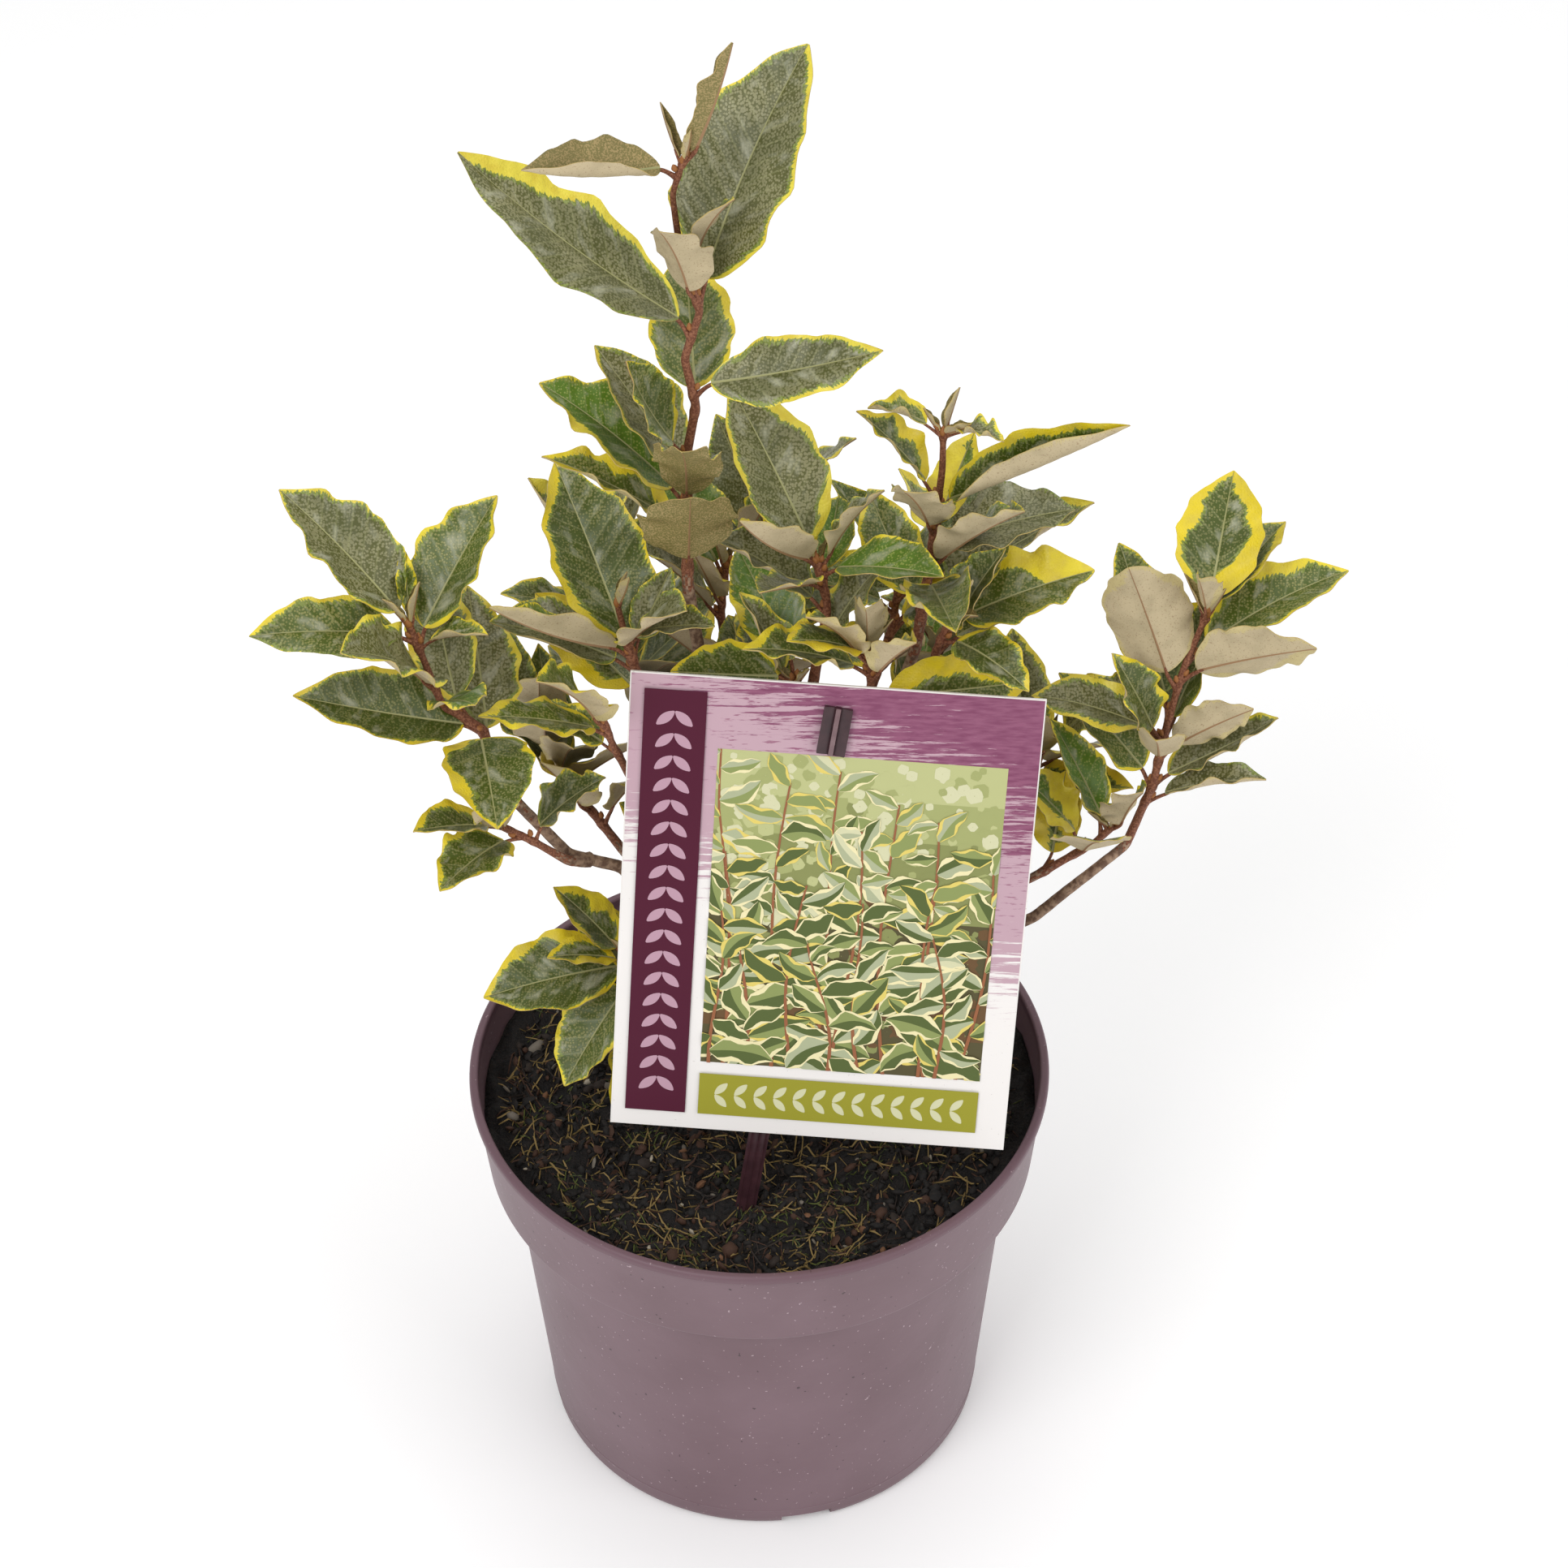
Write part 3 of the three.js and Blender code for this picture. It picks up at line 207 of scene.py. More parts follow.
# Each shoot is one mass of foliage, with the numbers of the source. bough: the limb that carries
# it. stem: how the shoot goes on from the bough's last point. leaves: its own leaves, as rows of
# share of the stem, azimuth, rise, length, width, roll, bend and fold, in mm and degrees. fill:
# how many more the rule adds, up to the share top. radius and bough_radius: at foot and tip.
SHOOTS = [
    Shoot("leader", 11, fill=1, top=0.2, radius=(1.7, 0.8), bough_radius=(2.8, 1.8),
          bough=[(-2, 12, 172.3), (-10, 14, 250), (-19, 15, 338)],
          stem=[(-18, 15, 387), (-15, 15, 404), (-18, 15, 421), (-13, 14, 438), (-18, 15, 455),
                (-20, 15, 477), (-17, 14, 488)],
          leaves=[(1, -25, 72, 40, 10, 0, -10, 62), (0.68, 46, 53, 72, 40, 0, 22, 10),
                  (0.97, -157, 14, 42, 20, -25, -25, 20), (0.69, -115, 62, 34, 20, 0, 20, 14),
                  (0.75, -30, 62, 28, 17, 0, 35, 16), (0.6, 172, 40, 80, 34, 0, -14, 14),
                  (0.42, 95, 42, 40, 27, 0, 15, 18), (0.46, -12, 20, 54, 21, 30, -15, 14),
                  (0.24, 139, 42, 42, 25, 0, 10, 15), (0.31, -165, 68, 34, 22, -20, -20, 22),
                  (0.19, 158, 33, 50, 30, 0, 20, 14), (0.12, 172, 28, 44, 20, 0, 20, 20),
                  (0.04, -84, 68, 36, 30, 0, 10, 10)]),
    Shoot("left", 21, fill=3, top=0.7, bough_radius=(2.4, 1.7),
          bough=[(-4, 11, 158), (-42, -2, 238), (-58, -5, 246), (-73, -8, 271)],
          stem=[(-82, -10, 303), (-93, -11, 313), (-101, -8, 341)],
          leaves=[(1, 150, 38, 50, 30, 0, 15, 14), (0.9, 48, 42, 45, 28, 0, 10, 14),
                  (0.93, -160, 16, 46, 22, -15, 20, 20), (0.95, 98, 50, 20, 9, 0, 0, 50),
                  (0.9, -20, 20, 20, 12, 0, 20, 20), (0.4, -166, 24, 55, 28, -25, -10, 20),
                  (0.42, -80, -8, 36, 30, 0, 20, 14), (0.6, -60, 35, 26, 18, 0, 20, 20)]),
    Shoot("left_low", 31, fill=2, top=0.9, radius=(1.3, 0.9), bough_radius=(1.7, 1.4),
          bough=[(-52, -4, 243), (-58, -10, 248)],
          stem=[(-68, -14, 260), (-77, -15, 267)],
          leaves=[(1, -150, 20, 26, 18, 0, 15, 18), (0.75, -125, 6, 32, 22, 0, 25, 14),
                  (0.6, 14, 35, 26, 18, 0, 25, 20)]),
    Shoot("left_mid", 43, fill=5, top=0.7, bough_radius=(2.1, 1.7),
          bough=[(-9, 13, 225), (-30, 8, 285)],
          stem=[(-38, 8, 322), (-40, 9, 334)],
          leaves=[(0.62, 118, 40, 58, 33, 0, 12, 12), (0.6, -158, 36, 48, 20, 35, -20, 30),
                  (0.75, -20, 20, 26, 15, 0, 20, 15), (0.5, 168, 12, 40, 24, -20, 35, 25)]),
    Shoot("left_front", 51, fill=4, top=0.9, radius=(1.4, 0.9), bough_radius=(2, 1.5),
          bough=[(-4, 10, 166), (-24, 0, 230), (-36, -4, 272)],
          stem=[(-43, -8, 295), (-45, -9, 305)],
          leaves=[(0.8, -158, 25, 40, 20, 0, 15, 16), (1, 84, 34, 34, 19, 0, 25, 16)]),
    Shoot("front", 221, fill=5, top=0.9, radius=(1.5, 0.9), bough_radius=(2, 1.6),
          bough=[(-1, 10, 160), (-1, 3, 236), (2, 3, 276)],
          stem=[(8, 4, 296), (13, 5, 306)],
          leaves=[(1, 180, 4, 33, 24, -60, 12, 12), (1, 118, 30, 40, 23, -10, 20, 16),
                  (0.7, 110, 10, 34, 18, 0, 20, 16)]),
    Shoot("centre", 61, fill=5, top=0.95, radius=(1.7, 0.9), bough_radius=(2.2, 1.8),
          bough=[(0, 12, 170), (12, 10, 250), (18, 10, 300)],
          stem=[(23, 11, 332), (20, 12, 348)],
          leaves=[(1, 127, 43, 54, 31, 0, 10, 12), (0.9, 123, 22, 30, 16, 0, 10, 15),
                  (0.95, -137, 47, 40, 22, 20, -25, 40), (0.9, -27, 14, 36, 22, 0, 20, 14),
                  (0.75, 80, 20, 26, 18, 0, 15, 25), (0.6, 160, 25, 36, 22, 0, 25, 18)]),
    Shoot("centre_front", 71, fill=5, top=0.9, bough_radius=(2.1, 1.7),
          bough=[(2, 10, 168), (20, 0, 235), (28, -4, 283)],
          stem=[(36, -2, 312), (35, -2, 324)],
          leaves=[(0.7, 150, 22, 25, 17, -25, 10, 10), (0.5, 6, 2, 44, 24, 62, 8, 5),
                  (0.95, -150, 30, 28, 18, 0, 25, 20), (0.95, -95, 68, 26, 17, 0, 35, 45),
                  (1, -60, 50, 26, 16, 0, 35, 45), (0.8, -168, 20, 36, 21, 0, 25, 16)]),
    Shoot("upper_right", 81, fill=4, top=0.38, radius=(1.7, 0.9), bough_radius=(2.2, 1.8),
          bough=[(2, 13, 170), (36, 16, 262), (50, 17, 310)],
          stem=[(54, 17, 345), (57, 18, 378), (57, 18, 390)],
          leaves=[(1, 165, 8, 18, 12, 0, 40, 20), (1, -35, 10, 16, 10, 0, 40, 20),
                  (0.66, -18, 36, 66, 24, 40, -10, 40), (0.45, 8, 12, 39, 29, 0, 20, 10),
                  (0.5, 63, 35, 30, 15, 0, 10, 20), (0.7, 161, 44, 30, 16, 0, 20, 25),
                  (0.55, -120, 56, 28, 20, 0, 20, 16), (0.38, 50, 56, 27, 15, -20, 8, 20)]),
    Shoot("right_mid", 91, fill=5, top=0.9, radius=(1.5, 0.9), bough_radius=(2.1, 1.7),
          bough=[(4, 12, 166), (38, 8, 240), (52, 9, 296)],
          stem=[(56, 9, 316), (60, 10, 327)],
          leaves=[(0.9, 10, 16, 42, 28, 15, 20, 12), (1, 150, 40, 26, 17, -20, 20, 20),
                  (0.6, 24, 8, 32, 18, 0, 20, 16), (1, 62, 30, 32, 20, 0, 20, 16),
                  (0.75, -46, -4, 30, 18, 10, 40, 16)]),
    Shoot("right", 101, fill=2, top=0.5, radius=(1.4, 0.9), bough_radius=(2.3, 1.5),
          bough=[(5, 12, 158), (45, 5, 184), (88, 0, 212), (116, 0, 243)],
          stem=[(123, -2, 270), (126, -2, 294), (130, 0, 314), (136, 3, 332)],
          leaves=[(1, 76, 30, 42, 28, 0, 10, 14), (0.83, 25, 13, 50, 26, 0, 25, 14),
                  (0.75, -25, 30, 42, 27, -75, 10, 14), (0.72, -165, 72, 46, 30, 75, 15, 10),
                  (0.5, -158, 66, 38, 17, -60, 10, 16), (1, 50, 14, 36, 20, -10, 10, 18),
                  (1, -110, 60, 24, 13, 0, 10, 40), (0.3, 13, 24, 38, 20, 0, -10, 20),
                  (0.22, -8, 16, 32, 15, 0, 20, 20), (0.5, 172, 14, 36, 20, 0, 25, 20),
                  (0.42, -15, 40, 30, 18, -70, 10, 16), (0.6, 118, 52, 48, 25, 0, 12, 14),
                  (0.4, -100, 50, 30, 18, 0, 15, 16)]),
    Shoot("right_low", 111, fill=2, top=0.5, radius=(1.3, 0.9), bough_radius=(1.9, 1.4),
          bough=[(4, 10, 162), (46, -2, 204), (88, -4, 234)],
          stem=[(105, -6, 249), (110, -6, 255)],
          leaves=[(1, -60, 64, 24, 18, 0, 20, 25), (0.9, 130, 45, 34, 18, 0, 15, 20),
                  (0.6, 150, 35, 28, 18, 0, 20, 14), (0.1, 75, 50, 26, 17, 0, 20, 14)]),
    Shoot("low_left", 121, fill=2, top=0.4, radius=(1.4, 0.9), bough_radius=(1.9, 1.5),
          bough=[(-4, 11, 150), (-26, 0, 180)],
          stem=[(-36, -4, 192), (-40, -6, 200)],
          leaves=[(0.9, -166, -4, 44, 30, -18, 20, 12), (0.7, -138, -44, 38, 26, 0, 15, 12),
                  (1, -160, 20, 24, 14, 0, 25, 20), (1, 150, 35, 28, 19, 0, 20, 16),
                  (0.1, -125, -50, 40, 17, 0, 10, 20)]),
    Shoot("back_left", 131, fill=12,
          bough=[(-3, 15, 162), (-30, 50, 228)],
          stem=[(-46, 76, 265), (-52, 86, 285)]),
    Shoot("back_centre", 141, fill=12,
          bough=[(0, 16, 168), (4, 56, 240)],
          stem=[(8, 84, 275), (6, 92, 296)]),
    Shoot("back_right", 151, fill=12,
          bough=[(4, 15, 162), (42, 52, 228)],
          stem=[(60, 76, 262), (68, 84, 282)]),
    Shoot("side_left", 181, fill=9, radius=(1.5, 0.9), bough_radius=(2, 1.6),
          bough=[(-4, 13, 160), (-42, 30, 214)],
          stem=[(-62, 40, 240), (-70, 44, 256)]),
    Shoot("side_right", 191, fill=9, radius=(1.5, 0.9), bough_radius=(2, 1.6),
          bough=[(5, 13, 160), (62, 32, 206)],
          stem=[(84, 40, 230), (94, 44, 246)]),
    Shoot("upper_back", 201, fill=10, bough_radius=(2.1, 1.7),
          bough=[(-4, 17, 196), (-6, 40, 262)],
          stem=[(-10, 50, 296), (-8, 52, 314)]),
    Shoot("upper_back_right", 211, fill=10, bough_radius=(2.1, 1.7),
          bough=[(12, 18, 200), (34, 44, 258)],
          stem=[(44, 54, 288), (46, 56, 306)]),
    Shoot("low_back", 171, fill=8, radius=(1.4, 0.9), bough_radius=(1.9, 1.5),
          bough=[(-1, 16, 148), (-8, 40, 176)],
          stem=[(-14, 58, 196), (-16, 64, 208)]),
    Shoot("low_front", 161, fill=6, radius=(1.4, 0.9), bough_radius=(1.9, 1.5),
          bough=[(2, 8, 150), (12, -6, 184)],
          stem=[(24, -14, 206), (29, -16, 222)],
          leaves=[(0.5, 10, -58, 54, 18, 0, 10, 14)]),
]


def unit(v):
    """A direction of length one, or one for each row."""
    v = np.asarray(v, float)
    return v / np.linalg.norm(v, axis=-1, keepdims=True)


def smoothstep(x, low, high):
    """From 0 at low to 1 at high, level at both ends: 3t^2 - 2t^3."""
    t = np.clip((x - low) / (high - low), 0, 1)
    return t * t * (3 - 2 * t)


def rough(x, y, size, seed):
    """A rolling surface: sine waves added up, each with its own way, phase and length near size.

    The sum is divided by the root of half their number, which gives heights spread about 0 by 1.
    """
    chance = np.random.default_rng(seed)
    way = chance.uniform(0, TURN, ROUGH_WAVES)
    pace = TURN / (size * chance.uniform(0.7, 1.5, ROUGH_WAVES))
    phase = chance.uniform(0, TURN, ROUGH_WAVES)
    x, y = np.asarray(x, float)[..., None], np.asarray(y, float)[..., None]
    waves = np.sin((x * np.cos(way) + y * np.sin(way)) * pace + phase)
    return waves.sum(-1) / np.sqrt(ROUGH_WAVES / 2)


class Dice:
    """Numbers from one seed, each 16807 times the last, modulo 2^31 - 1."""

    def __init__(self, seed, skip=0):
        self.state = seed
        for _ in range(skip):
            self.roll(0, 1)

    def roll(self, low, high):
        self.state = self.state * 16807 % 2147483647
        return low + (high - low) * self.state / 2147483647


def lengths(points):
    """How far along a path each of its points is."""
    steps = np.linalg.norm(np.diff(points, axis=0), axis=1)
    return np.concatenate(([0.0], np.cumsum(steps)))


def taper(points, radii):
    """Radii that run evenly by length from one end of a path to the other."""
    run = lengths(points)
    return radii[0] + (radii[1] - radii[0]) * run / run[-1]


def along(points, share):
    """The point and the direction at a share of a path's length."""
    run = lengths(points)
    left = share * run[-1]
    i = 1
    while i + 1 < len(points) and left > run[i]:
        i += 1
    way = unit(points[i] - points[i - 1])
    return points[i - 1] + way * (left - run[i - 1]), way


def leaf_frame(azimuth, rise, roll):
    """A leaf's frame: forward along its chord, to its left, and up out of its upper face."""
    a, e, r = azimuth * RADIANS, rise * RADIANS, roll * RADIANS
    forward = np.array([np.cos(e) * np.cos(a), np.cos(e) * np.sin(a), np.sin(e)])
    left = np.array([-np.sin(a), np.cos(a), 0.0])
    up = np.cross(forward, left)
    return forward, left * np.cos(r) + up * np.sin(r), up * np.cos(r) - left * np.sin(r)


class Leaf:
    """A leaf from its row of sizes: where it springs from, its frame and its margin's waves."""

    def __init__(self, stem, row, waves):
        self.share, azimuth, rise, self.length, self.width, roll, bend, fold = row
        self.start, self.way = along(stem, self.share)
        self.forward, self.left, self.up = leaf_frame(azimuth, rise, roll)
        self.bend, self.fold = bend * RADIANS + 1e-6, fold * RADIANS
        self.out = unit(self.way * 0.5 + leaf_frame(azimuth, min(rise, PETIOLE_RISE), 0)[0])
        self.base = self.start + self.out * waves[0]
        self.waves = waves[1:]

    def half_width(self, u):
        """Half the blade's width in mm at u along it: 2.79 u^0.65 (1 - u)^0.85 of its widest."""
        return self.width / 2 * 2.79 * u ** 0.65 * (1 - u) ** 0.85

    def point(self, u, v, lift=0.0, ruffle=0.0, reach=None, curl=(0.0, 0.0)):
        """The blade at u along it and v across it, -1 at its right edge and 1 at its left.

        The rib is an arc that turns by bend from base to tip. The halves rise from it by fold, and
        the margin by a sine wave that grows with v squared. lift goes out of the upper face, and
        ruffle adds a quicker wave to the margin that grows with the fourth power of v. curl is the
        angle that the left and right halves turn through, rib to margin, each on an arc:
        sin(curl v) / curl out and (1 - cos(curl v)) / curl over, in shares of the reach.
        """
        u, v = np.broadcast_arrays(np.asarray(u, float), np.asarray(v, float))
        half = self.bend / 2
        radius = self.length / (2 * np.sin(half))
        angle = half - self.bend * u
        reach = self.half_width(u) if reach is None else reach
        ends = np.minimum(1, 4 * u) * np.minimum(1, 4 * (1 - u))
        height, count, phase = self.waves
        wave = height * v * v * ends * np.sin(TURN * count * u + phase + np.sign(v))
        quick = np.sin(TURN * 1.7 * count * u + 1.7 * phase + 2 * np.sign(v))
        wave = wave + ruffle * height * v ** 4 * ends * quick
        bow = np.where(v > 0, *curl) * np.minimum(1, 3 * u) + 1e-6
        turned = bow * np.abs(v)
        out, over = reach * np.sin(turned) / bow, reach * (1 - np.cos(turned)) / bow
        rise = out * np.sin(self.fold) + over * np.cos(self.fold) + wave + lift * np.cos(turned)
        aside = out * np.cos(self.fold) - over * np.sin(self.fold) - lift * np.sin(turned)
        ahead = radius * (np.sin(half) - np.sin(angle)) - np.sin(angle) * rise
        high = radius * (np.cos(angle) - np.cos(half)) + np.cos(angle) * rise
        return (self.base + ahead[..., None] * self.forward + high[..., None] * self.up
                + (np.sign(v) * aside)[..., None] * self.left)


def label_frame():
    """The label's own axes as columns: X across it, Y up it and Z out of it, towards the viewer."""
    turn, lean, tilt = CARD_TURN * RADIANS, (90 - CARD_LEAN) * RADIANS, CARD_TILT * RADIANS
    upright = np.array(Matrix.Rotation(turn, 3, 'Z') @ Matrix.Rotation(lean, 3, 'X'))
    return upright @ np.array(Matrix.Rotation(tilt, 3, 'Z'))


LABEL_AXES = label_frame()
SPREAD_U, SPREAD_V = (s.ravel() for s in np.meshgrid(
    np.arange(1, 14) / 13, np.linspace(-0.95, 0.95, 7), indexing='ij'))
OUTER = SPREAD_U >= 0.3


def clear_of_things(p):
    """True where points keep clear of the label, the peat and the pot."""
    if (p[:, 2] < SOIL_TOP + KEEP_SOIL).any():
        return False
    by_rim = np.abs(np.hypot(p[:, 0], p[:, 1]) - RIM_RADIUS) < KEEP_POT + LIP_WIDTH * 2
    if ((p[:, 2] < POT_HEIGHT + KEEP_POT) & by_rim).any():
        return False
    local = (p - np.array(CARD_CENTRE)) @ LABEL_AXES
    beside = np.abs(local[:, 0]) > CARD_WIDTH / 2 + KEEP_CARD
    beyond = np.abs(local[:, 1]) > CARD_HEIGHT / 2 + KEEP_CARD
    return (beside | beyond | (local[:, 2] < -KEEP_CARD - STAKE_THICKNESS)).all()


def limb_samples(points, radii):
    """Points along a limb every 2 mm, with the limb's radius at each."""
    places, sizes = [], []
    for a, b, ra, rb in zip(points[:-1], points[1:], radii[:-1], radii[1:]):
        steps = max(1, int(np.floor(np.linalg.norm(b - a) / 2 + 0.5)))
        k = np.arange(steps + 1)[:, None] / steps
        places.append(a + (b - a) * k)
        sizes.append((ra + (rb - ra) * k)[:, 0])
    return np.concatenate(places), np.concatenate(sizes)


class Plant:
    """The shrub as the rule grows it: its limbs, and the leaves of each shoot."""

    def __init__(self):
        foot = np.array([*TRUNK_FOOT, SOIL_TOP + GAP])
        top = np.array(TRUNK_TOP)
        shares = [s * TRUNK_FLARE_HEIGHT / (top[2] - foot[2]) for s in (0, 0.4, 1)] + [1]
        self.trunk = np.array([foot + (top - foot) * s for s in shares])
        self.trunk_radii = np.array([TRUNK_FLARE, TRUNK_RADIUS + 1.6, TRUNK_RADIUS + 0.6,
                                     TRUNK_RADIUS])
        self.limbs = [('trunk', *limb_samples(self.trunk, self.trunk_radii))]
        self.taken = []
        self.grown = {s.name: [] for s in SHOOTS}
        self.young = {s.name: [] for s in SHOOTS}
        self.bough = {s.name: np.array(s.bough, float) for s in SHOOTS}
        self.stem = {s.name: np.array([s.bough[-1], *s.stem], float) for s in SHOOTS}
        for s in SHOOTS:
            bough, stem = self.bough[s.name], self.stem[s.name]
            self.limbs.append(('bough', *limb_samples(bough, taper(bough, s.bough_radius))))
            self.limbs.append((s.name, *limb_samples(stem, taper(stem, s.radius))))
        self.grow()

    def fits(self, p, owner, keep_own):
        """True where a blade keeps clear of the things, limbs and blades that are there already."""
        if not clear_of_things(p):
            return False
        for who, places, radii in self.limbs:
            own = who == owner
            q = p[OUTER] if own else p
            apart = np.linalg.norm(q[:, None] - places[None], axis=2)
            if (apart < radii[None] + (1 if own else KEEP_LIMB)).any():
                return False
        for who, other in self.taken:
            own = who == owner
            q, t = (p[OUTER], other[OUTER]) if own else (p, other)
            keep = keep_own if own else KEEP_OTHER
            if np.linalg.norm(q.mean(0) - t.mean(0)) > FAR_APART:
                continue
            if (((q[:, None] - t[None]) ** 2).sum(2) < keep * keep).any():
                return False
        return True

    def attempt(self, shoot, row, waves, into, keep_own=KEEP_OWN):
        """Adds a leaf to its shoot if it keeps clear, and says whether it did."""
        leaf = Leaf(self.stem[shoot.name], row, waves)
        p = leaf.point(SPREAD_U, SPREAD_V)
        if not self.fits(p, shoot.name, keep_own):
            return False
        self.taken.append((shoot.name, p))
        into[shoot.name].append(leaf)
        return True

    def grow(self):
        """Grows the leaves in the source's order, and then the young leaves at the tips.

        Every shoot's own leaves come first, and then those that climb it by the golden angle.
        """
        dice = {s.name: Dice(s.seed) for s in SHOOTS}
        for s in SHOOTS:
            for row in s.leaves:
                self.attempt(s, row, draw_waves(dice[s.name]), self.grown)
        for s in SHOOTS:
            for row in fill_rows(s, dice[s.name]):
                waves = draw_waves(dice[s.name])
                for _ in range(FILL_TRIES):
                    if self.attempt(s, row, waves, self.grown):
                        break
                    row[1] += TRY_TURN
                    row[3] *= TRY_SHRINK
                    row[4] *= TRY_SHRINK
        for s in SHOOTS:
            chance = Dice(s.seed + 977, skip=4)
            for i in range(YOUNG_LEAVES):
                length = chance.roll(*YOUNG_LENGTH)
                row = [1.0, chance.roll(0, 60) + GOLDEN_ANGLE * i, chance.roll(35, 78), length,
                       length * YOUNG_PLUMPNESS, chance.roll(-15, 15), chance.roll(-20, 10),
                       chance.roll(48, 62)]
                waves = (chance.roll(1, 2), 0.3, 2.0, chance.roll(0, TURN))
                self.attempt(s, row, waves, self.young, KEEP_YOUNG)


def draw_waves(dice):
    """The dice's part of a leaf: its petiole and the waves of its margin."""
    return (dice.roll(*PETIOLE_LENGTH), dice.roll(*WAVE_HEIGHT), dice.roll(*WAVE_COUNT),
            dice.roll(0, TURN))


def fill_rows(shoot, dice):
    """The rows of a shoot's seeded leaves, which climb its stem by the golden angle."""
    rows, phase = [], dice.roll(0, 360)
    for i in range(shoot.fill):
        share = shoot.top - shoot.top * 0.85 * i / shoot.fill
        length = dice.roll(*FILL_LENGTH) * (1 - 0.25 * share)
        rise = dice.roll(*FILL_RISE) + 15 * share
        width = length * dice.roll(*FILL_PLUMPNESS)
        rows.append([share, phase + i * GOLDEN_ANGLE, rise, length, width,
                     dice.roll(*FILL_ROLL), dice.roll(*FILL_BEND), dice.roll(*FILL_FOLD)])
    return rows


def grid(rows, cols, wrap=False):
    """The four-cornered faces between neighbours of a grid of points, row by row."""
    across = cols if wrap else cols - 1
    i, j = np.meshgrid(np.arange(rows - 1), np.arange(across), indexing='ij')
    a, b = i * cols + j, i * cols + (j + 1) % cols
    return np.stack([a, b, b + cols, a + cols], -1).reshape(-1, 4)


def fan(ring, middle, flip=False):
    """Triangles from a closed ring of points to its middle point."""
    ahead = np.roll(ring, -1)
    sides = (ahead, ring) if flip else (ring, ahead)
    none = np.full(len(ring), -1)
    return np.stack([np.full(len(ring), middle), *sides, none], -1)


def capped(rings, ends):
    """A closed skin over rings of points, with a fan at both ends to the end's middle point."""
    count, sides = rings.shape[:2]
    size = count * sides
    faces = np.concatenate([grid(count, sides, wrap=True), fan(np.arange(sides), size, flip=True),
                            fan(size - sides + np.arange(sides), size + 1)])
    return np.concatenate([rings.reshape(-1, 3), ends]), faces


def sheet(above, below):
    """Two grids of points as skins that meet in a rim: places, and upper, lower and rim faces."""
    rows, cols = above.shape[:2]
    size = rows * cols
    upper = grid(rows, cols)[:, ::-1]
    edge = np.concatenate([np.arange(rows) * cols, (rows - 1) * cols + np.arange(1, cols),
                           np.arange(rows - 2, -1, -1) * cols + cols - 1,
                           np.arange(cols - 2, 0, -1)])
    ahead = np.roll(edge, -1)
    rim = np.stack([edge + size, ahead + size, ahead, edge], -1)
    places = np.concatenate([above.reshape(-1, 3), below.reshape(-1, 3)])
    return places, upper, upper[:, ::-1] + size, rim


class Skins:
    """Skins gathered for one piece.

    They are places in mm, faces of four corners (a triangle's last is -1), each face's finish,
    and each corner's flat places for the patterns that follow the skin.
    """

    def __init__(self, *maps):
        self.places, self.faces, self.finishes, self.count = [], [], [], 0
        self.maps = {name: [] for name in maps}

    def add(self, places, faces, finish=0, **maps):
        places, faces = np.reshape(places, (-1, 3)), np.asarray(faces)
        self.places.append(places)
        self.faces.append(np.where(faces < 0, -1, faces + self.count))
        self.finishes.append(np.broadcast_to(finish, len(faces)))
        for name, kept in self.maps.items():
            flat = maps[name]
            kept.append(flat if flat.ndim == 3 else flat[faces])
        self.count += len(places)

    def piece(self, name, finishes, slot, stands_for=(), sharp=50):
        """The piece as one mesh, in metres, smooth but for edges sharper than sharp degrees."""
        places, faces = np.concatenate(self.places) / 1000, np.concatenate(self.faces)
        there = faces >= 0
        mesh = bpy.data.meshes.new(name)
        mesh.vertices.add(len(places))
        mesh.vertices.foreach_set('co', places.astype(np.float32).ravel())
        mesh.loops.add(int(there.sum()))
        mesh.loops.foreach_set('vertex_index', faces[there].astype(np.int32))
        sizes = there.sum(1)
        mesh.polygons.add(len(faces))
        mesh.polygons.foreach_set('loop_start', (np.cumsum(sizes) - sizes).astype(np.int32))
        mesh.polygons.foreach_set('material_index', np.concatenate(self.finishes).astype(np.int32))
        mesh.update(calc_edges=True)
        for title, kept in self.maps.items():
            layer = mesh.uv_layers.new(name=title)
            layer.data.foreach_set('uv', np.concatenate(kept)[there].astype(np.float32).ravel())
        mesh.polygons.foreach_set('use_smooth', np.ones(len(faces), bool))
        mesh.set_sharp_from_angle(angle=sharp * RADIANS)
        for finish in finishes:
            mesh.materials.append(finish)
        made = bpy.data.objects.new(name, mesh)
        bpy.context.scene.collection.objects.link(made)
        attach(made, "root")
        if stands_for:
            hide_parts(*stands_for)


def linear(shade, alpha=1.0):
    """An sRGB hex colour as the linear numbers that Blender works in."""
    s = np.array([int(shade[i:i + 2], 16) for i in (1, 3, 5)]) / 255
    return (*np.where(s <= 0.04045, s / 12.92, ((s + 0.055) / 1.055) ** 2.4), alpha)


def add(tree, kind, inputs=(), **settings):
    """One node with its settings. An input that is a socket is linked, and any other is set."""
    node = tree.nodes.new('ShaderNode' + kind)
    for name, value in settings.items():
        setattr(node, name, value)
    for name, value in dict(inputs).items():
        if isinstance(value, bpy.types.NodeSocket):
            tree.links.new(value, node.inputs[name])
        else:
            node.inputs[name].default_value = linear(value) if isinstance(value, str) else value
    return node


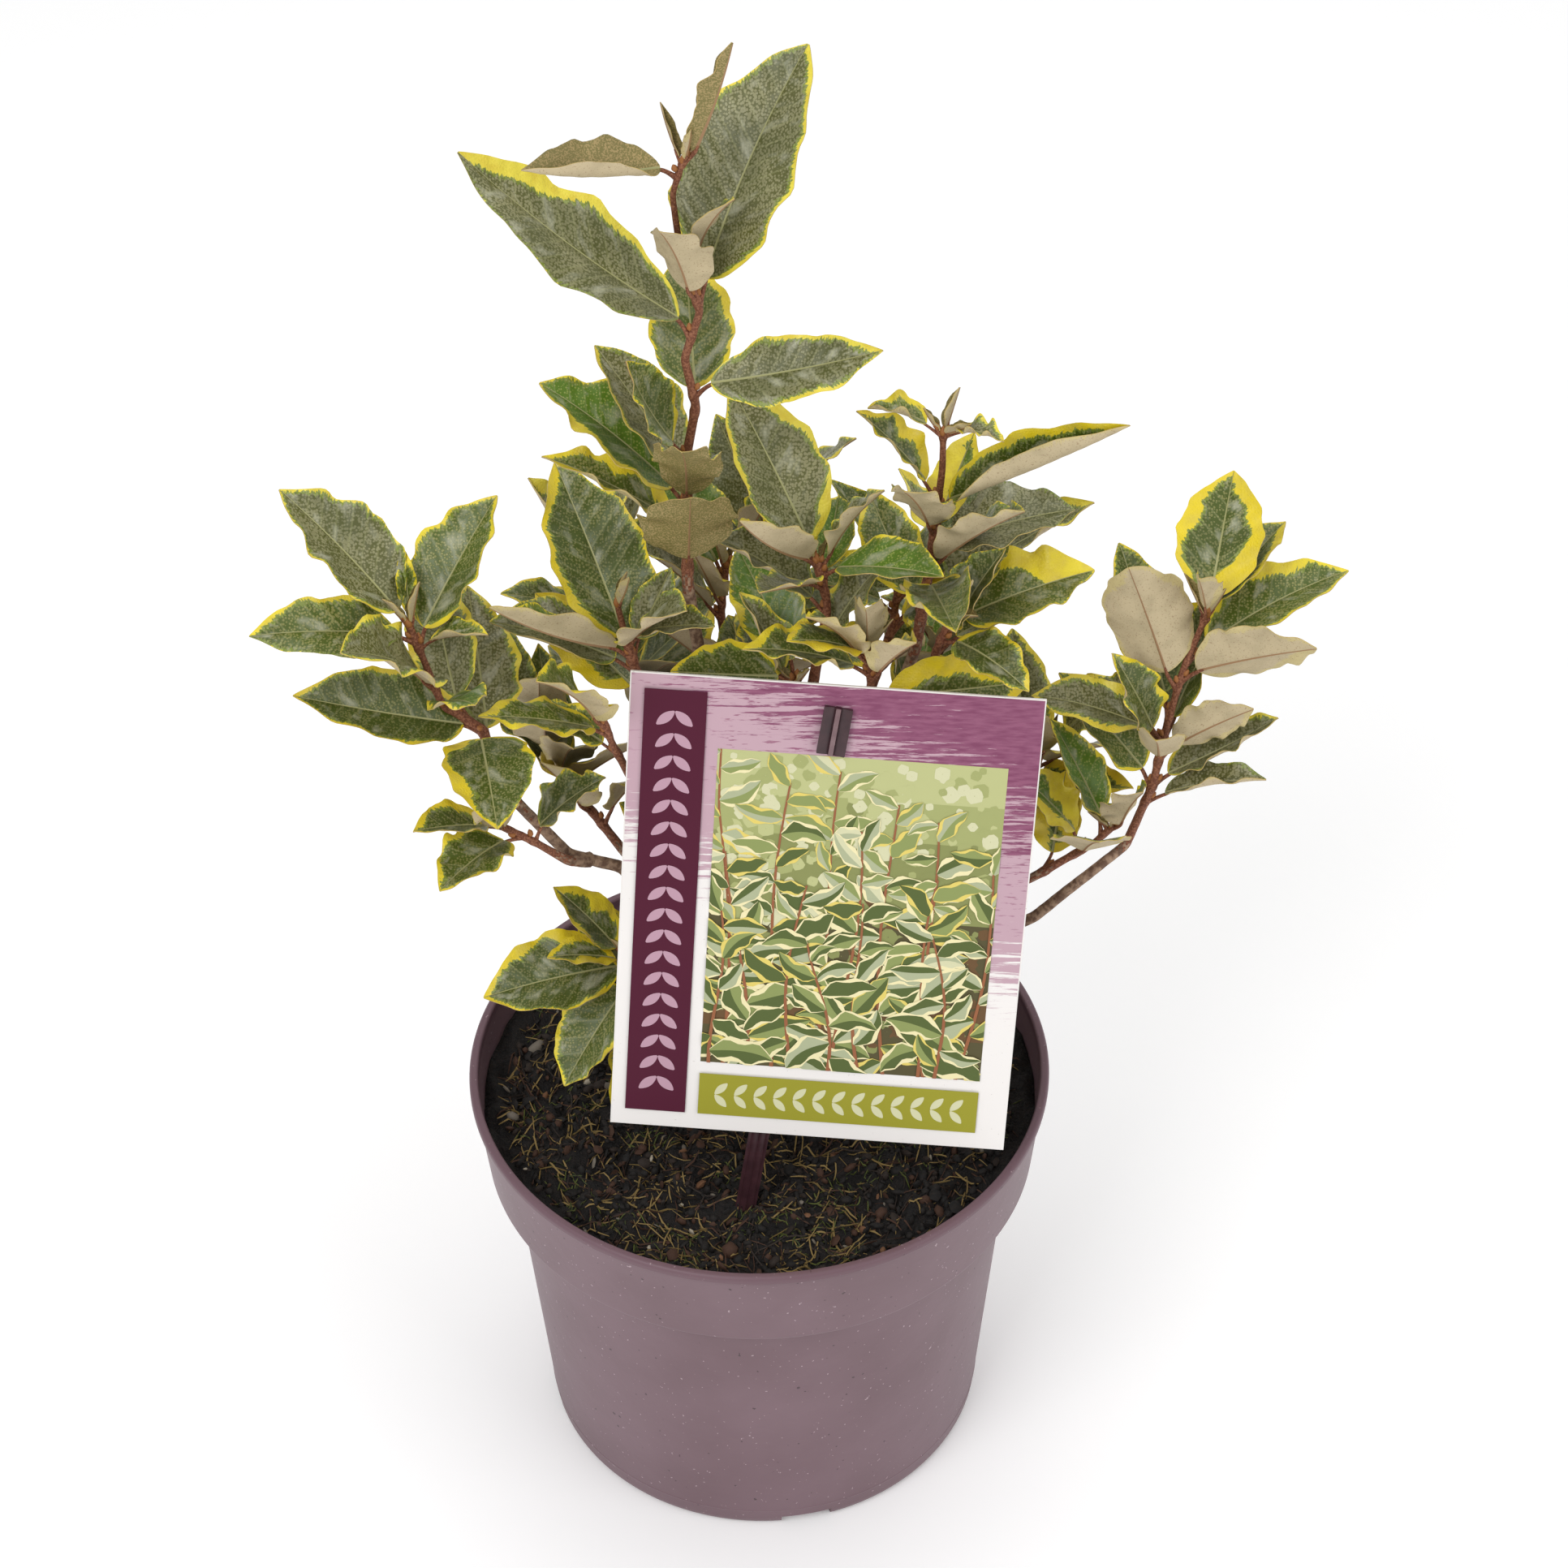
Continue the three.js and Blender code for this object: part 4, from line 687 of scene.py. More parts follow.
def material(name, shade, roughness, **sockets):
    """A material with its plain colour and roughness, its node tree and its shader."""
    made = bpy.data.materials.new(name)
    made.use_nodes = True
    made.diffuse_color = linear(shade)
    shader = made.node_tree.nodes['Principled BSDF']
    shader.inputs['Base Color'].default_value = linear(shade)
    shader.inputs['Roughness'].default_value = roughness
    for socket, value in sockets.items():
        shader.inputs[socket.replace('_', ' ')].default_value = value
    return made, made.node_tree, shader


def maths(tree, operation, a, b=0.5):
    """One step of arithmetic on one number or two."""
    return add(tree, 'Math', {0: a, 1: b}, operation=operation).outputs[0]


def times(tree, a, b):
    """Two numbers multiplied."""
    return maths(tree, 'MULTIPLY', a, b)


def ramp(tree, value, low, high):
    """A share of 0 to 1 as a value goes from low to high."""
    return add(tree, 'MapRange', {'Value': value, 'From Min': low, 'From Max': high}).outputs[0]


def speckle(tree, grain, low, high, detail=2.0, where=None):
    """A share of 0 to 1 from noise whose patches are grain mm wide: 0 below low, 1 above high.

    where is a flat map in place of the object's own metres, and grain is then 1000 for one unit.
    """
    if where is None:
        where = add(tree, 'TexCoord').outputs['Object']
    noise = add(tree, 'TexNoise', {'Vector': where, 'Scale': 1000 / grain, 'Detail': detail})
    return ramp(tree, noise.outputs[0], low, high)


def blend(tree, share, below, above):
    """The colour between two, by a share of 0 to 1."""
    return add(tree, 'Mix', {0: share, 6: below, 7: above}, data_type='RGBA').outputs[2]


def coloured(tree, shader, colour):
    """Gives a shader its colour."""
    tree.links.new(colour, shader.inputs['Base Color'])


def relief(tree, shader, height, depth):
    """A bump of depth mm on a shader from a height of 0 to 1."""
    bump = add(tree, 'Bump', {'Height': height, 'Distance': depth / 1000, 'Strength': 1.0})
    tree.links.new(bump.outputs[0], shader.inputs['Normal'])


def mottled(name, shade, roughness, below, above, patches, bumps=None, depth=0.0):
    """A material of two colours in patches, and a relief of bumps that are depth mm high.

    Both are a speckle's grain in mm, low, high and detail.
    """
    made, tree, shader = material(name, shade, roughness)
    coloured(tree, shader, blend(tree, speckle(tree, *patches), below, above))
    if bumps:
        relief(tree, shader, speckle(tree, *bumps), depth)
    return made


def tube(path, radii, sides):
    """A limb about a path, closed at both ends: ring i stands square to the path at its point i.

    Corner k of a ring is at path + radius (cos(2 pi k / sides) across + sin(2 pi k / sides) over).
    One side of the path's chord, less its share along the path, gives across, and over is square
    to that and to the path.
    """
    path = np.asarray(path, float)
    way = unit(np.gradient(path, axis=0))
    chord = unit(path[-1] - path[0])
    side = np.cross(chord, (1, 0, 0) if abs(chord[0]) < 0.8 else (0, 1, 0))
    across = unit(side - (way @ side)[:, None] * way)
    over = np.cross(way, across)
    turn = TURN * np.arange(sides) / sides
    radii = np.broadcast_to(np.reshape(radii, (len(path), -1)), (len(path), sides))[..., None]
    rings = path[:, None] + radii * (np.cos(turn)[:, None] * across[:, None]
                                     + np.sin(turn)[:, None] * over[:, None])
    return capped(rings, [path[0], path[-1]])


def fine_path(points, step, ease):
    """A path with a point every step mm, averaged ease times with its neighbours, ends kept."""
    run = lengths(points)
    at = np.linspace(0, run[-1], max(4, int(run[-1] / step)))
    path = np.stack([np.interp(at, run, points[:, k]) for k in range(3)], -1)
    for _ in range(ease):
        path[1:-1] = (path[:-2] + 2 * path[1:-1] + path[2:]) / 4
    return path, at


def arc(start, first, end, last, count):
    """A path that leaves start along first and comes to end along last: a cubic Bezier curve."""
    t = np.linspace(0, 1, count)[:, None]
    far = np.linalg.norm(end - start) * 0.4
    a, b = start + first * far, end - last * far
    return (1 - t) ** 3 * start + 3 * t * (1 - t) ** 2 * a + 3 * t * t * (1 - t) * b + t ** 3 * end


# Finishes of a leaf, in the order of its piece's material slots.
GREEN, DEEP, GREY, CLEAR, UNDER, RIB_ABOVE, RIB_BELOW, RIM, YOUNG = range(9)

# Where the columns of a half blade lie, beyond the rib's edge and out to the margin.
COLUMNS = np.array([0.25, 0.5, 0.72, 0.88, 1.0])

# Leaves that the front shows well: their upper finish, the width in mm of the yellow on their left
# and on their right, and the angle that each half curls through. A sixth is a lower finish other
# than the felt. The rest are drawn by chance.
KNOWN = {
    ('leader', 0): (YOUNG, -3, -3, 0.3, 0.3, YOUNG), ('leader', 1): (GREY, 0.8, 1.7, 0.2, 0.1),
    ('leader', 2): (YOUNG, -3, -3, 2.0, 0.1), ('leader', 3): (GREY, -1, -1, 0.6, 0.4),
    ('leader', 5): (GREY, -1.0, 3.3, -0.5, 0.3), ('leader', 6): (GREEN, 1.2, 1.7, 0.2, 0.2),
    ('leader', 7): (GREY, 1.2, 0.9, 0.5, -0.4), ('leader', 8): (GREY, 1.6, 0.6, 0.5, 0.2),
    ('leader', 10): (CLEAR, 5, 1.4, 0.3, 0.4), ('leader', 11): (GREEN, 6, 4, 0.5, 0.3),
    ('leader', 12): (GREY, 1, 1, 0.2, 0.2, YOUNG), ('leader', 13): (GREY, 1, 1, 0.4, 0.3, YOUNG),
    ('left', 0): (GREY, 1.0, 0.7, 0.3, 0.6), ('left', 1): (GREEN, 1.5, 1.9, 0.3, 0.5),
    ('left', 2): (GREEN, -0.5, 1.0, -0.4, 0.3), ('left', 5): (DEEP, 1.1, 2.6, 0.3, 0.4),
    ('left', 6): (DEEP, 1.2, 4.2, 0.3, 0.5), ('left_low', 0): (DEEP, 1.4, 2.8, 0.3, 0.2),
    ('left_low', 1): (GREEN, 1.6, 2.2, 0.2, 0.4), ('left_mid', 0): (DEEP, 2.7, 0.9, 0.3, 0.2),
    ('centre', 0): (GREY, 1.5, 2.4, 0.3, 0.3), ('centre', 3): (CLEAR, 0.5, 0.9, 0.4, 0.3),
    ('front', 0): (DEEP, 2.2, 2.2, 0.2, 0.3), ('front', 1): (CLEAR, 2.6, 1.4, 0.2, 0.3),
    ('centre_front', 0): (DEEP, 5, 3, 0.2, 0.3), ('upper_right', 0): (GREEN, 1, 2, 0.9, 0.5),
    ('upper_right', 2): (DEEP, 2.4, 1.0, 0.3, 2.0), ('upper_right', 3): (GREY, -1, -1, 0.3, 0.3),
    ('upper_right', 4): (CLEAR, 9, 4, 0.3, 0.3), ('upper_right', 5): (DEEP, 2.5, 3.5, 0.3, 0.5),
    ('right_mid', 0): (GREEN, 8, 1.2, 0.2, 0.4), ('right_mid', 1): (GREEN, 1.0, 1.6, 0.4, 0.4),
    ('right_mid', 3): (DEEP, 2.4, 1.0, 0.3, 0.3), ('right', 0): (DEEP, 4.5, 6.5, 0.2, 0.3),
    ('right', 1): (GREEN, 4.0, 1.4, 0.4, 0.3), ('right', 4): (DEEP, 1.6, 1.4, 0.4, 0.3),
    ('right', 5): (GREEN, 1.2, 2.6, 0.3, 0.4), ('right', 7): (GREY, 1.0, 0.5, 0.3, 0.6),
    ('right', 8): (GREY, -0.5, 0.5, 0.3, 0.9), ('right_low', 2): (CLEAR, 6, 4, 0.2, 0.3),
    ('right_low', 3): (DEEP, 5, 6, 0.2, 0.3), ('low_left', 0): (DEEP, 1.4, 3.2, 0.3, 0.3),
    ('low_left', 1): (GREEN, 1.6, 1.6, 0.4, 0.3),
}


def wander(chance, u, knots):
    """A line from 0 to 1 that wanders: straight between seeded values at evenly spaced knots."""
    return np.interp(u * knots, np.arange(knots + 1), [chance.roll(0, 1) for _ in range(knots + 1)])


def leaf_skins(leaf, number, cell, skins, look, young=False):
    """One blade: an upper and a lower skin that meet in a thin rim.

    Both are grids of stations along the leaf and 13 columns across it. Its map of veins holds
    vein = (length u - 0.75 |v| reach) / spacing, which is the same all along a side vein, and |v|.
    Its map of the margin holds how many mm a place is past the inner edge of the yellow, which is
    yellow(u) - (1 - |v|) reach, and how many mm it is along the leaf. The atlas cell
    (x, y, width, height) holds the upper face and the lower one.
    """
    chance = Dice(31 * number + 7, skip=5)
    rows = YOUNG_STATIONS if young else STATIONS
    t = np.linspace(0, 1, rows)
    u = 0.004 + 0.992 * (0.7 * t + 0.3 * (1 - np.cos(np.pi * t)) / 2)
    pointed = 1 - chance.roll(0.05, 0.4) * u ** 7
    scallops = 0.04 * np.sin(TURN * 4.3 * u + chance.roll(0, TURN)) + 0.012 * np.sin(TURN * 9.1 * u)
    reach = leaf.half_width(u) * pointed * (1 + scallops)
    veins = max(5, int(leaf.length / VEIN_SPACING))
    tone, *widths = look[:3]
    curl, under_tone = look[3:5], look[5] if len(look) > 5 else UNDER
    ruffle = RUFFLE * min(1, leaf.width / RUFFLED_WIDTH)
    yellow = np.stack([w * (0.2 + 1.6 * wander(chance, u, 6) ** 1.5) for w in widths], 1)
    rib = np.minimum(RIB_HALF * (1 - 0.75 * u) / reach, 0.2)[:, None]
    half = np.concatenate([rib, np.tile(COLUMNS, (rows, 1))], 1)
    v = np.concatenate([-half[:, ::-1], 0 * rib, half], 1)
    cols = v.shape[1]
    uu = np.repeat(u[:, None], cols, 1)
    wide = reach[:, None]
    thin = BLADE_HALF + (EDGE_HALF - BLADE_HALF) * v ** 2
    middle = np.arange(cols) == cols // 2
    quilt = QUILT * np.sin(TURN * (veins * uu - 1.1 * np.abs(v))) * np.abs(v) * (1 - v ** 4)
    above = leaf.point(uu, v, quilt + thin - RIB_GROOVE * middle, ruffle, wide, curl)
    ridge = RIB_DEPTH * middle * (1 - 0.6 * uu)
    below = leaf.point(uu, v, quilt - thin - ridge, ruffle, wide, curl)
    places, upper, lower, rim = sheet(above, below)
    faces = np.concatenate([upper, lower, rim])

    across = 0.5 + 0.5 * v * wide / reach.max()
    x, y, w, h = cell
    near = np.stack([x + w * (0.03 + 0.44 * across), y + h * (0.03 + 0.94 * uu)], -1).reshape(-1, 2)
    atlas = np.concatenate([near, near + (w * 0.5, 0)])[faces]
    centre = np.array([x + w * 0.25, y + h * 0.5])
    edge = len(upper) + len(lower)
    atlas[edge:] = near[faces[edge:] % len(near)]
    atlas[edge:, :2] = centre + (atlas[edge:, :2] - centre) * 1.03
    vein = (leaf.length * uu - 0.75 * np.abs(v) * wide) / (leaf.length / veins) + 7 * number
    past = np.where(v > 0, yellow[:, :1], yellow[:, 1:]) - (1 - np.abs(v)) * wide
    ribs = np.stack([vein + 3 * (v < 0), np.abs(v)], -1).reshape(-1, 2)
    margin = np.stack([past, leaf.length * uu], -1).reshape(-1, 2)

    column = np.tile(np.arange(cols - 1), rows - 1)
    on_rib = np.minimum(column, cols - 2 - column) == len(COLUMNS)
    above_tone, rib_tone = (YOUNG, RIB_BELOW) if young else (tone, RIB_ABOVE)
    finish = np.concatenate([np.where(on_rib, rib_tone, above_tone),
                             np.where(on_rib, RIB_BELOW, under_tone), np.full(len(rim), RIM)])
    skins.add(places, faces, finish, OFBake=atlas, veins=np.concatenate([ribs, ribs])[faces],
              margin=np.concatenate([margin, margin])[faces])


def petiole(leaf):
    """A leaf's stalk: a curve from inside the stem to the blade, thickest at the stem."""
    half = leaf.bend / 2
    first = leaf.forward * np.cos(half) + leaf.up * np.sin(half)
    under = leaf.base + first * 2.5 - leaf.up * (BLADE_HALF + 0.25)
    path = arc(leaf.start - leaf.way * 0.8, leaf.out, under, first, 10)
    t = np.linspace(0, 1, 10)
    scale = min(1, 0.45 + leaf.length / 70)
    radii = scale * (0.62 + 0.75 * np.exp(-t * 6) - 0.3 * smoothstep(t, 0.75, 1))
    return tube(path, radii, TWIG_SIDES)


def bud(place, way, length, radius):
    """A bud: a spindle whose radius is sin(pi t^0.8)^0.8 of its widest at t along it."""
    t = np.linspace(0.04, 0.96, 8)
    path = place + unit(way) * (length * t)[:, None] + np.array([0.02, 0.01, 0]) * t[:, None]
    return tube(path, radius * np.sin(np.pi * t ** 0.8) ** 0.8, TWIG_SIDES)


def make_limbs(plant, old, fresh, bud_finish):
    """The trunk, boughs and shoots, with ridges along the bark and a knob under each leaf.

    A bough's radius is 1 + 0.45 e^(-s / 3.5) of its own, s mm on from its first 4 mm, and a knob
    adds 0.28 e^(-(s / 1.7)^2) mm. Finish 0 is old bark, 1 a shoot of this year, and 2 a bud.
    """
    skins = Skins()
    top = plant.trunk[-1] + (0, 0, TRUNK_INTO_FORK)
    path, at = fine_path(np.vstack([plant.trunk[0] - (0, 0, TRUNK_SUNK), plant.trunk, top]), 0.9, 1)
    run = lengths(plant.trunk) + TRUNK_SUNK
    radii = np.interp(at, [0, *run, run[-1] + TRUNK_INTO_FORK],
                      [TRUNK_FLARE, *plant.trunk_radii, 3.2])
    skins.add(*tube(path, bark(radii, at, TRUNK_SIDES, 3), TRUNK_SIDES), finish=0)
    for number, shoot in enumerate(SHOOTS):
        bough, stem = plant.bough[shoot.name], plant.stem[shoot.name]
        points = np.vstack([bough, stem[1:]])
        run, cut = lengths(points), lengths(bough)[-1]
        path, at = fine_path(points, 1.1, 3)
        radii = np.interp(at, run, [*taper(bough, shoot.bough_radius),
                                    *taper(stem, shoot.radius)[1:]])
        radii = radii * (1 + COLLAR_SWELL * np.exp(-np.maximum(at - 4, 0) / 3.5))
        for leaf in plant.grown[shoot.name]:
            knob = cut + leaf.share * lengths(stem)[-1]
            radii = radii + KNOB * np.exp(-((at - knob) / 1.7) ** 2)
        places, faces = tube(path, bark(radii, at, LIMB_SIDES, number + 11), LIMB_SIDES)
        row = np.minimum(faces[:, 0] // LIMB_SIDES, len(path) - 1)
        mottle = np.random.default_rng(number).normal(0, 4, len(row))
        skins.add(places, faces, np.where(at[row] + mottle < cut, 0, 1))
        way = path[-1] - path[-3]
        skins.add(*bud(path[-1] - unit(way) * 0.6, way, *TIP_BUD), finish=2)
        for leaf in plant.grown[shoot.name] + plant.young[shoot.name]:
            skins.add(*petiole(leaf), finish=1)
        for leaf in plant.grown[shoot.name]:
            foot = leaf.start + leaf.out * 1.3 + leaf.way
            skins.add(*bud(foot, leaf.way + leaf.out, *AXIL_BUD), finish=2)
    nodes = ['trunk'] + ['bough_' + s.name for s in SHOOTS]
    skins.piece('limbs', [old, fresh, bud_finish], 'bark', nodes, sharp=70)


def bark(radii, at, sides, seed):
    """Radii with the bark's relief, at points along a limb and at each of its sides.

    Three broad ridges and seven fine ones wander along it, as sines of the angle that sway by
    sines of the length, and thicker wood has cross scars: the ninth power of a sine of the length.
    """
    chance = np.random.default_rng(seed)
    a, s = TURN * np.arange(sides)[None] / sides, at[:, None]
    p = chance.uniform(0, TURN, 5)
    ridges = np.sin(3 * a + 0.8 * np.sin(s / 7 + p[0]) + p[1]) * 0.035
    ridges = ridges + np.sin(7 * a + 1.3 * np.sin(s / 4 + p[2]) + s / 9) * 0.025
    scars = np.sin(s / 0.9 + 1.5 * np.sin(a + p[3]) + p[4]) ** 9 * 0.03
    return radii[:, None] * (1 + ridges + scars * (radii[:, None] > 1.4))


def eased(profile, size, closed=False):
    """A profile whose corners are quadratic curves that start size mm before them.

    On a short side a curve starts nearer, at 0.45 of the side's length.
    """
    p = np.asarray(profile, float)
    before, after = np.roll(p, 1, 0) - p, np.roll(p, -1, 0) - p
    near, far = (np.linalg.norm(s, axis=1, keepdims=True) for s in (before, after))
    cut = np.minimum(size, 0.45 * np.minimum(near, far))
    t = np.linspace(0, 1, 5)[:, None, None]
    first, last = p + before / near * cut, p + after / far * cut
    curve = (1 - t) ** 2 * first + 2 * t * (1 - t) * p + t * t * last
    made = curve.transpose(1, 0, 2)
    return made.reshape(-1, 2) if closed else np.vstack([p[:1], made[1:-1].reshape(-1, 2), p[-1:]])


def turned(profile, turn, closed=False):
    """A profile of radius and height turned about the Z axis: each of its points makes a ring.

    An open profile is closed at the axis, and a closed one comes round to itself.
    """
    profile = np.asarray(profile, float)
    rows, cols = len(profile), len(turn)
    radius, height = profile[:, :1], profile[:, 1:] + 0 * turn
    places = np.stack([radius * np.cos(turn), radius * np.sin(turn), height], -1)
    if closed:
        return places, grid(rows + 1, cols, wrap=True) % (rows * cols)
    return capped(places, [[0, 0, profile[0, 1]], [0, 0, profile[-1, 1]]])


def body_radius(height):
    """The pot's radius, on its outside, at a height on the tapered body."""
    share = (height - BASE_ROUNDING) / (COLLAR_FOOT - BASE_ROUNDING)
    return BASE_RADIUS + (BODY_TOP_RADIUS - BASE_RADIUS) * share


def inner_wall(top, margin):
    """The inside of the pot from a height down to the floor, moved inwards by a margin."""
    inset, shoulder = WALL + margin, COLLAR_FOOT + WALL
    floor = FOOT_HEIGHT + FLOOR_THICKNESS + margin
    rise = (top - COLLAR_FOOT) / (POT_HEIGHT - LIP_HEIGHT - COLLAR_FOOT)
    top_radius = COLLAR_FOOT_RADIUS + (COLLAR_TOP_RADIUS - COLLAR_FOOT_RADIUS) * rise
    return [(top_radius - inset, top), (COLLAR_FOOT_RADIUS - inset, shoulder + 1.5),
            (COLLAR_FOOT_RADIUS - inset - 1, shoulder + 0.6),
            (BODY_TOP_RADIUS - inset + 0.6, shoulder - 1.2),
            (body_radius(shoulder - 4) - inset, shoulder - 4), (body_radius(floor) - inset, floor)]


def make_pot(plastic):
    """The pot: one closed profile turned about the axis, and a floor inside its foot ring.

    The ring's notches are made by raising its points to the notch's height, between stations that
    stand on both sides of each of its edges. The floor is a wedge round each drain hole: four
    outlines, hole and wedge below and above, joined by a grid that comes round to itself. A hub
    closes the middle. The body has a fine bead near its foot.
    """
    foot_inside, lip_foot = BASE_RADIUS - FOOT_WIDTH, POT_HEIGHT - LIP_HEIGHT
    floor = FOOT_HEIGHT + FLOOR_THICKNESS
    plate = foot_inside - 3
    outside = [(plate, FOOT_HEIGHT), (foot_inside - 1.5, FOOT_HEIGHT), (foot_inside, 0),
               (BASE_RADIUS - BASE_ROUNDING, 0),
               (BASE_RADIUS - BASE_ROUNDING * 0.3, BASE_ROUNDING * 0.3),
               (BASE_RADIUS, BASE_ROUNDING),
               (body_radius(BEAD_HEIGHT - BEAD_HALF), BEAD_HEIGHT - BEAD_HALF),
               (body_radius(BEAD_HEIGHT) + BEAD_DEPTH, BEAD_HEIGHT),
               (body_radius(BEAD_HEIGHT + BEAD_HALF), BEAD_HEIGHT + BEAD_HALF),
               (body_radius(COLLAR_FOOT - 3), COLLAR_FOOT - 3),
               (BODY_TOP_RADIUS + 0.8, COLLAR_FOOT - 1),
               (COLLAR_FOOT_RADIUS - 0.8, COLLAR_FOOT + 0.7),
               (COLLAR_FOOT_RADIUS, COLLAR_FOOT + 1.8), (COLLAR_TOP_RADIUS, lip_foot),
               (RIM_RADIUS, lip_foot + 0.6), (RIM_RADIUS, POT_HEIGHT - 0.9),
               (RIM_RADIUS - 0.7, POT_HEIGHT), (RIM_RADIUS - LIP_WIDTH + 0.5, POT_HEIGHT),
               (RIM_RADIUS - LIP_WIDTH, POT_HEIGHT - 0.7)]
    profile = eased(outside + inner_wall(lip_foot, 0) + [(plate, floor)], 0.9, closed=True)
    middle = (NOTCH_AZIMUTH + 360 / NOTCH_COUNT * np.arange(NOTCH_COUNT)) * RADIANS
    half = np.arcsin(NOTCH_WIDTH / 2 / BASE_RADIUS)
    ends = (middle[:, None] + np.array([-half - 1e-3, -half, half, half + 1e-3])).ravel()
    turn = np.sort(np.concatenate([TURN * np.arange(POT_SIDES) / POT_SIDES, ends % TURN]))
    places, faces = turned(profile, turn, closed=True)
    away = np.abs((turn[:, None] - middle + np.pi) % TURN - np.pi).min(1)
    in_ring = places[..., 0] ** 2 + places[..., 1] ** 2 > (foot_inside - 0.5) ** 2
    cut = (away < half + 5e-4) & in_ring
    places[..., 2] = np.where(cut, np.maximum(places[..., 2], NOTCH_HEIGHT), places[..., 2])
    skins = Skins()
    skins.add(places, faces)
    inner, reach = HUB_RADIUS + 1.5, np.pi / DRAIN_COUNT
    bow, side = np.linspace(-reach, reach, 15), np.linspace(plate, inner, 12)[1:-1]
    flank = np.stack([side * np.cos(reach), side * np.sin(reach)], -1)
    outline = np.concatenate([np.stack([plate * np.cos(bow), plate * np.sin(bow)], -1), flank,
                              np.stack([inner * np.cos(-bow), inner * np.sin(-bow)], -1),
                              flank[::-1] * (1, -1)])
    hole = np.array([DRAIN_CIRCLE, 0]) + DRAIN_RADIUS * unit(outline - (DRAIN_CIRCLE, 0))
    for k in range(DRAIN_COUNT):
        a = TURN * k / DRAIN_COUNT
        about = np.array([[np.cos(a), np.sin(a)], [-np.sin(a), np.cos(a)]])
        rows = [np.column_stack([line @ about, np.full(len(line), height)]) for line, height in
                ((hole, FOOT_HEIGHT), (outline, FOOT_HEIGHT), (outline, floor), (hole, floor))]
        size = len(outline)
        skins.add(np.concatenate(rows), grid(5, size, wrap=True) % (4 * size))
    hub = turned([(HUB_RADIUS, 0), (inner, FOOT_HEIGHT), (inner, floor)], TURN * np.arange(96) / 96)
    skins.add(*hub)
    skins.piece('nursery_pot', [plastic], 'pot', ['pot'], sharp=40)


def soil_height(x, y):
    """The peat's height: the source's lumps, which fade at the trunk and the wall, and clods."""
    from_trunk, from_middle = np.hypot(x - TRUNK_FOOT[0], y - TRUNK_FOOT[1]), np.hypot(x, y)
    fade = smoothstep(from_trunk, TRUNK_FLARE + 3, TRUNK_FLARE + 18)
    edge = 1 - smoothstep(from_middle, 74, 88)
    waves = np.sin(x * 0.13 + 1) * np.cos(y * 0.11) + 0.5 * np.sin(x * 0.29 - y * 0.23)
    clods = 0.75 * rough(x, y, 9, 5) + 0.4 * np.abs(rough(x, y, 3.5, 6))
    clods = clods + 0.25 * rough(x, y, 1.8, 8)
    return SOIL_TOP + SOIL_LUMP * (waves - 0.4) * fade * edge + clods * (0.3 + 0.7 * fade) - 0.6


def strewn(chance, count, where):
    """Places strewn evenly over the peat, each as far out as a chance's root, where allowed."""
    far = LITTER_SPREAD * np.sqrt(chance.uniform(0, 1, count))
    turn = chance.uniform(0, TURN, count)
    middle = np.stack([far * np.cos(turn), far * np.sin(turn)], -1)
    return middle[where(middle)]


def repeated(faces, corners, count):
    """The faces of one small shape, once for each of its copies of so many corners."""
    every = faces[None] + corners * np.arange(count)[:, None, None]
    return np.where(faces[None] < 0, -1, every).reshape(-1, 4)


def strewn_fibres(skins, count, seed, finishes, length, radius, lift, where):
    """Fibres that lie on the peat: each a bent three-sided rod of five rings.

    At t along it, from -0.5 to 0.5, a fibre stands 4 t^2 bow of its length off its straight line.
    It rises by a share of lift, and one of its ends by more than the other.
    """
    chance = np.random.default_rng(seed)
    middle = strewn(chance, count, where)
    count = len(middle)
    a = chance.uniform(0, TURN, count)
    way, side = np.stack([np.cos(a), np.sin(a)], -1), np.stack([-np.sin(a), np.cos(a)], -1)
    t = np.linspace(-0.5, 0.5, 5)
    long, bow = chance.uniform(*length, count), chance.normal(0, 0.06, count)
    line = middle[:, None] + way[:, None] * (long[:, None] * t)[..., None]
    line = line + side[:, None] * (long * bow)[:, None, None] * (4 * t * t)[None, :, None]
    reach = np.hypot(line[..., 0], line[..., 1])[..., None]
    line = line * np.minimum(1, LITTER_REACH / np.maximum(reach, 1))
    thick = chance.uniform(*radius, count)
    rise = chance.uniform(0, lift, count)[:, None]
    rise = rise * (0.3 + chance.uniform(-1, 1, count)[:, None] * t * 2)
    height = soil_height(line[..., 0], line[..., 1]) + thick[:, None] * 0.6 + np.maximum(rise, -0.2)
    centre = np.concatenate([line, height[..., None]], -1)
    corner = TURN * np.arange(3) / 3
    ring = np.cos(corner)[None, :, None] * np.append(side, np.zeros((count, 1)), 1)[:, None]
    ring = ring + np.sin(corner)[None, :, None] * np.array([0, 0, 1.0])
    shape = thick[:, None] * np.array([0.5, 1, 1, 1, 0.5])
    places = centre[:, :, None] + shape[..., None, None] * ring[:, None]
    one = np.concatenate([grid(5, 3, wrap=True), [[0, 2, 1, -1], [12, 13, 14, -1]]])
    skins.add(places, repeated(one, 15, count), np.repeat(chance.choice(finishes, count), len(one)))


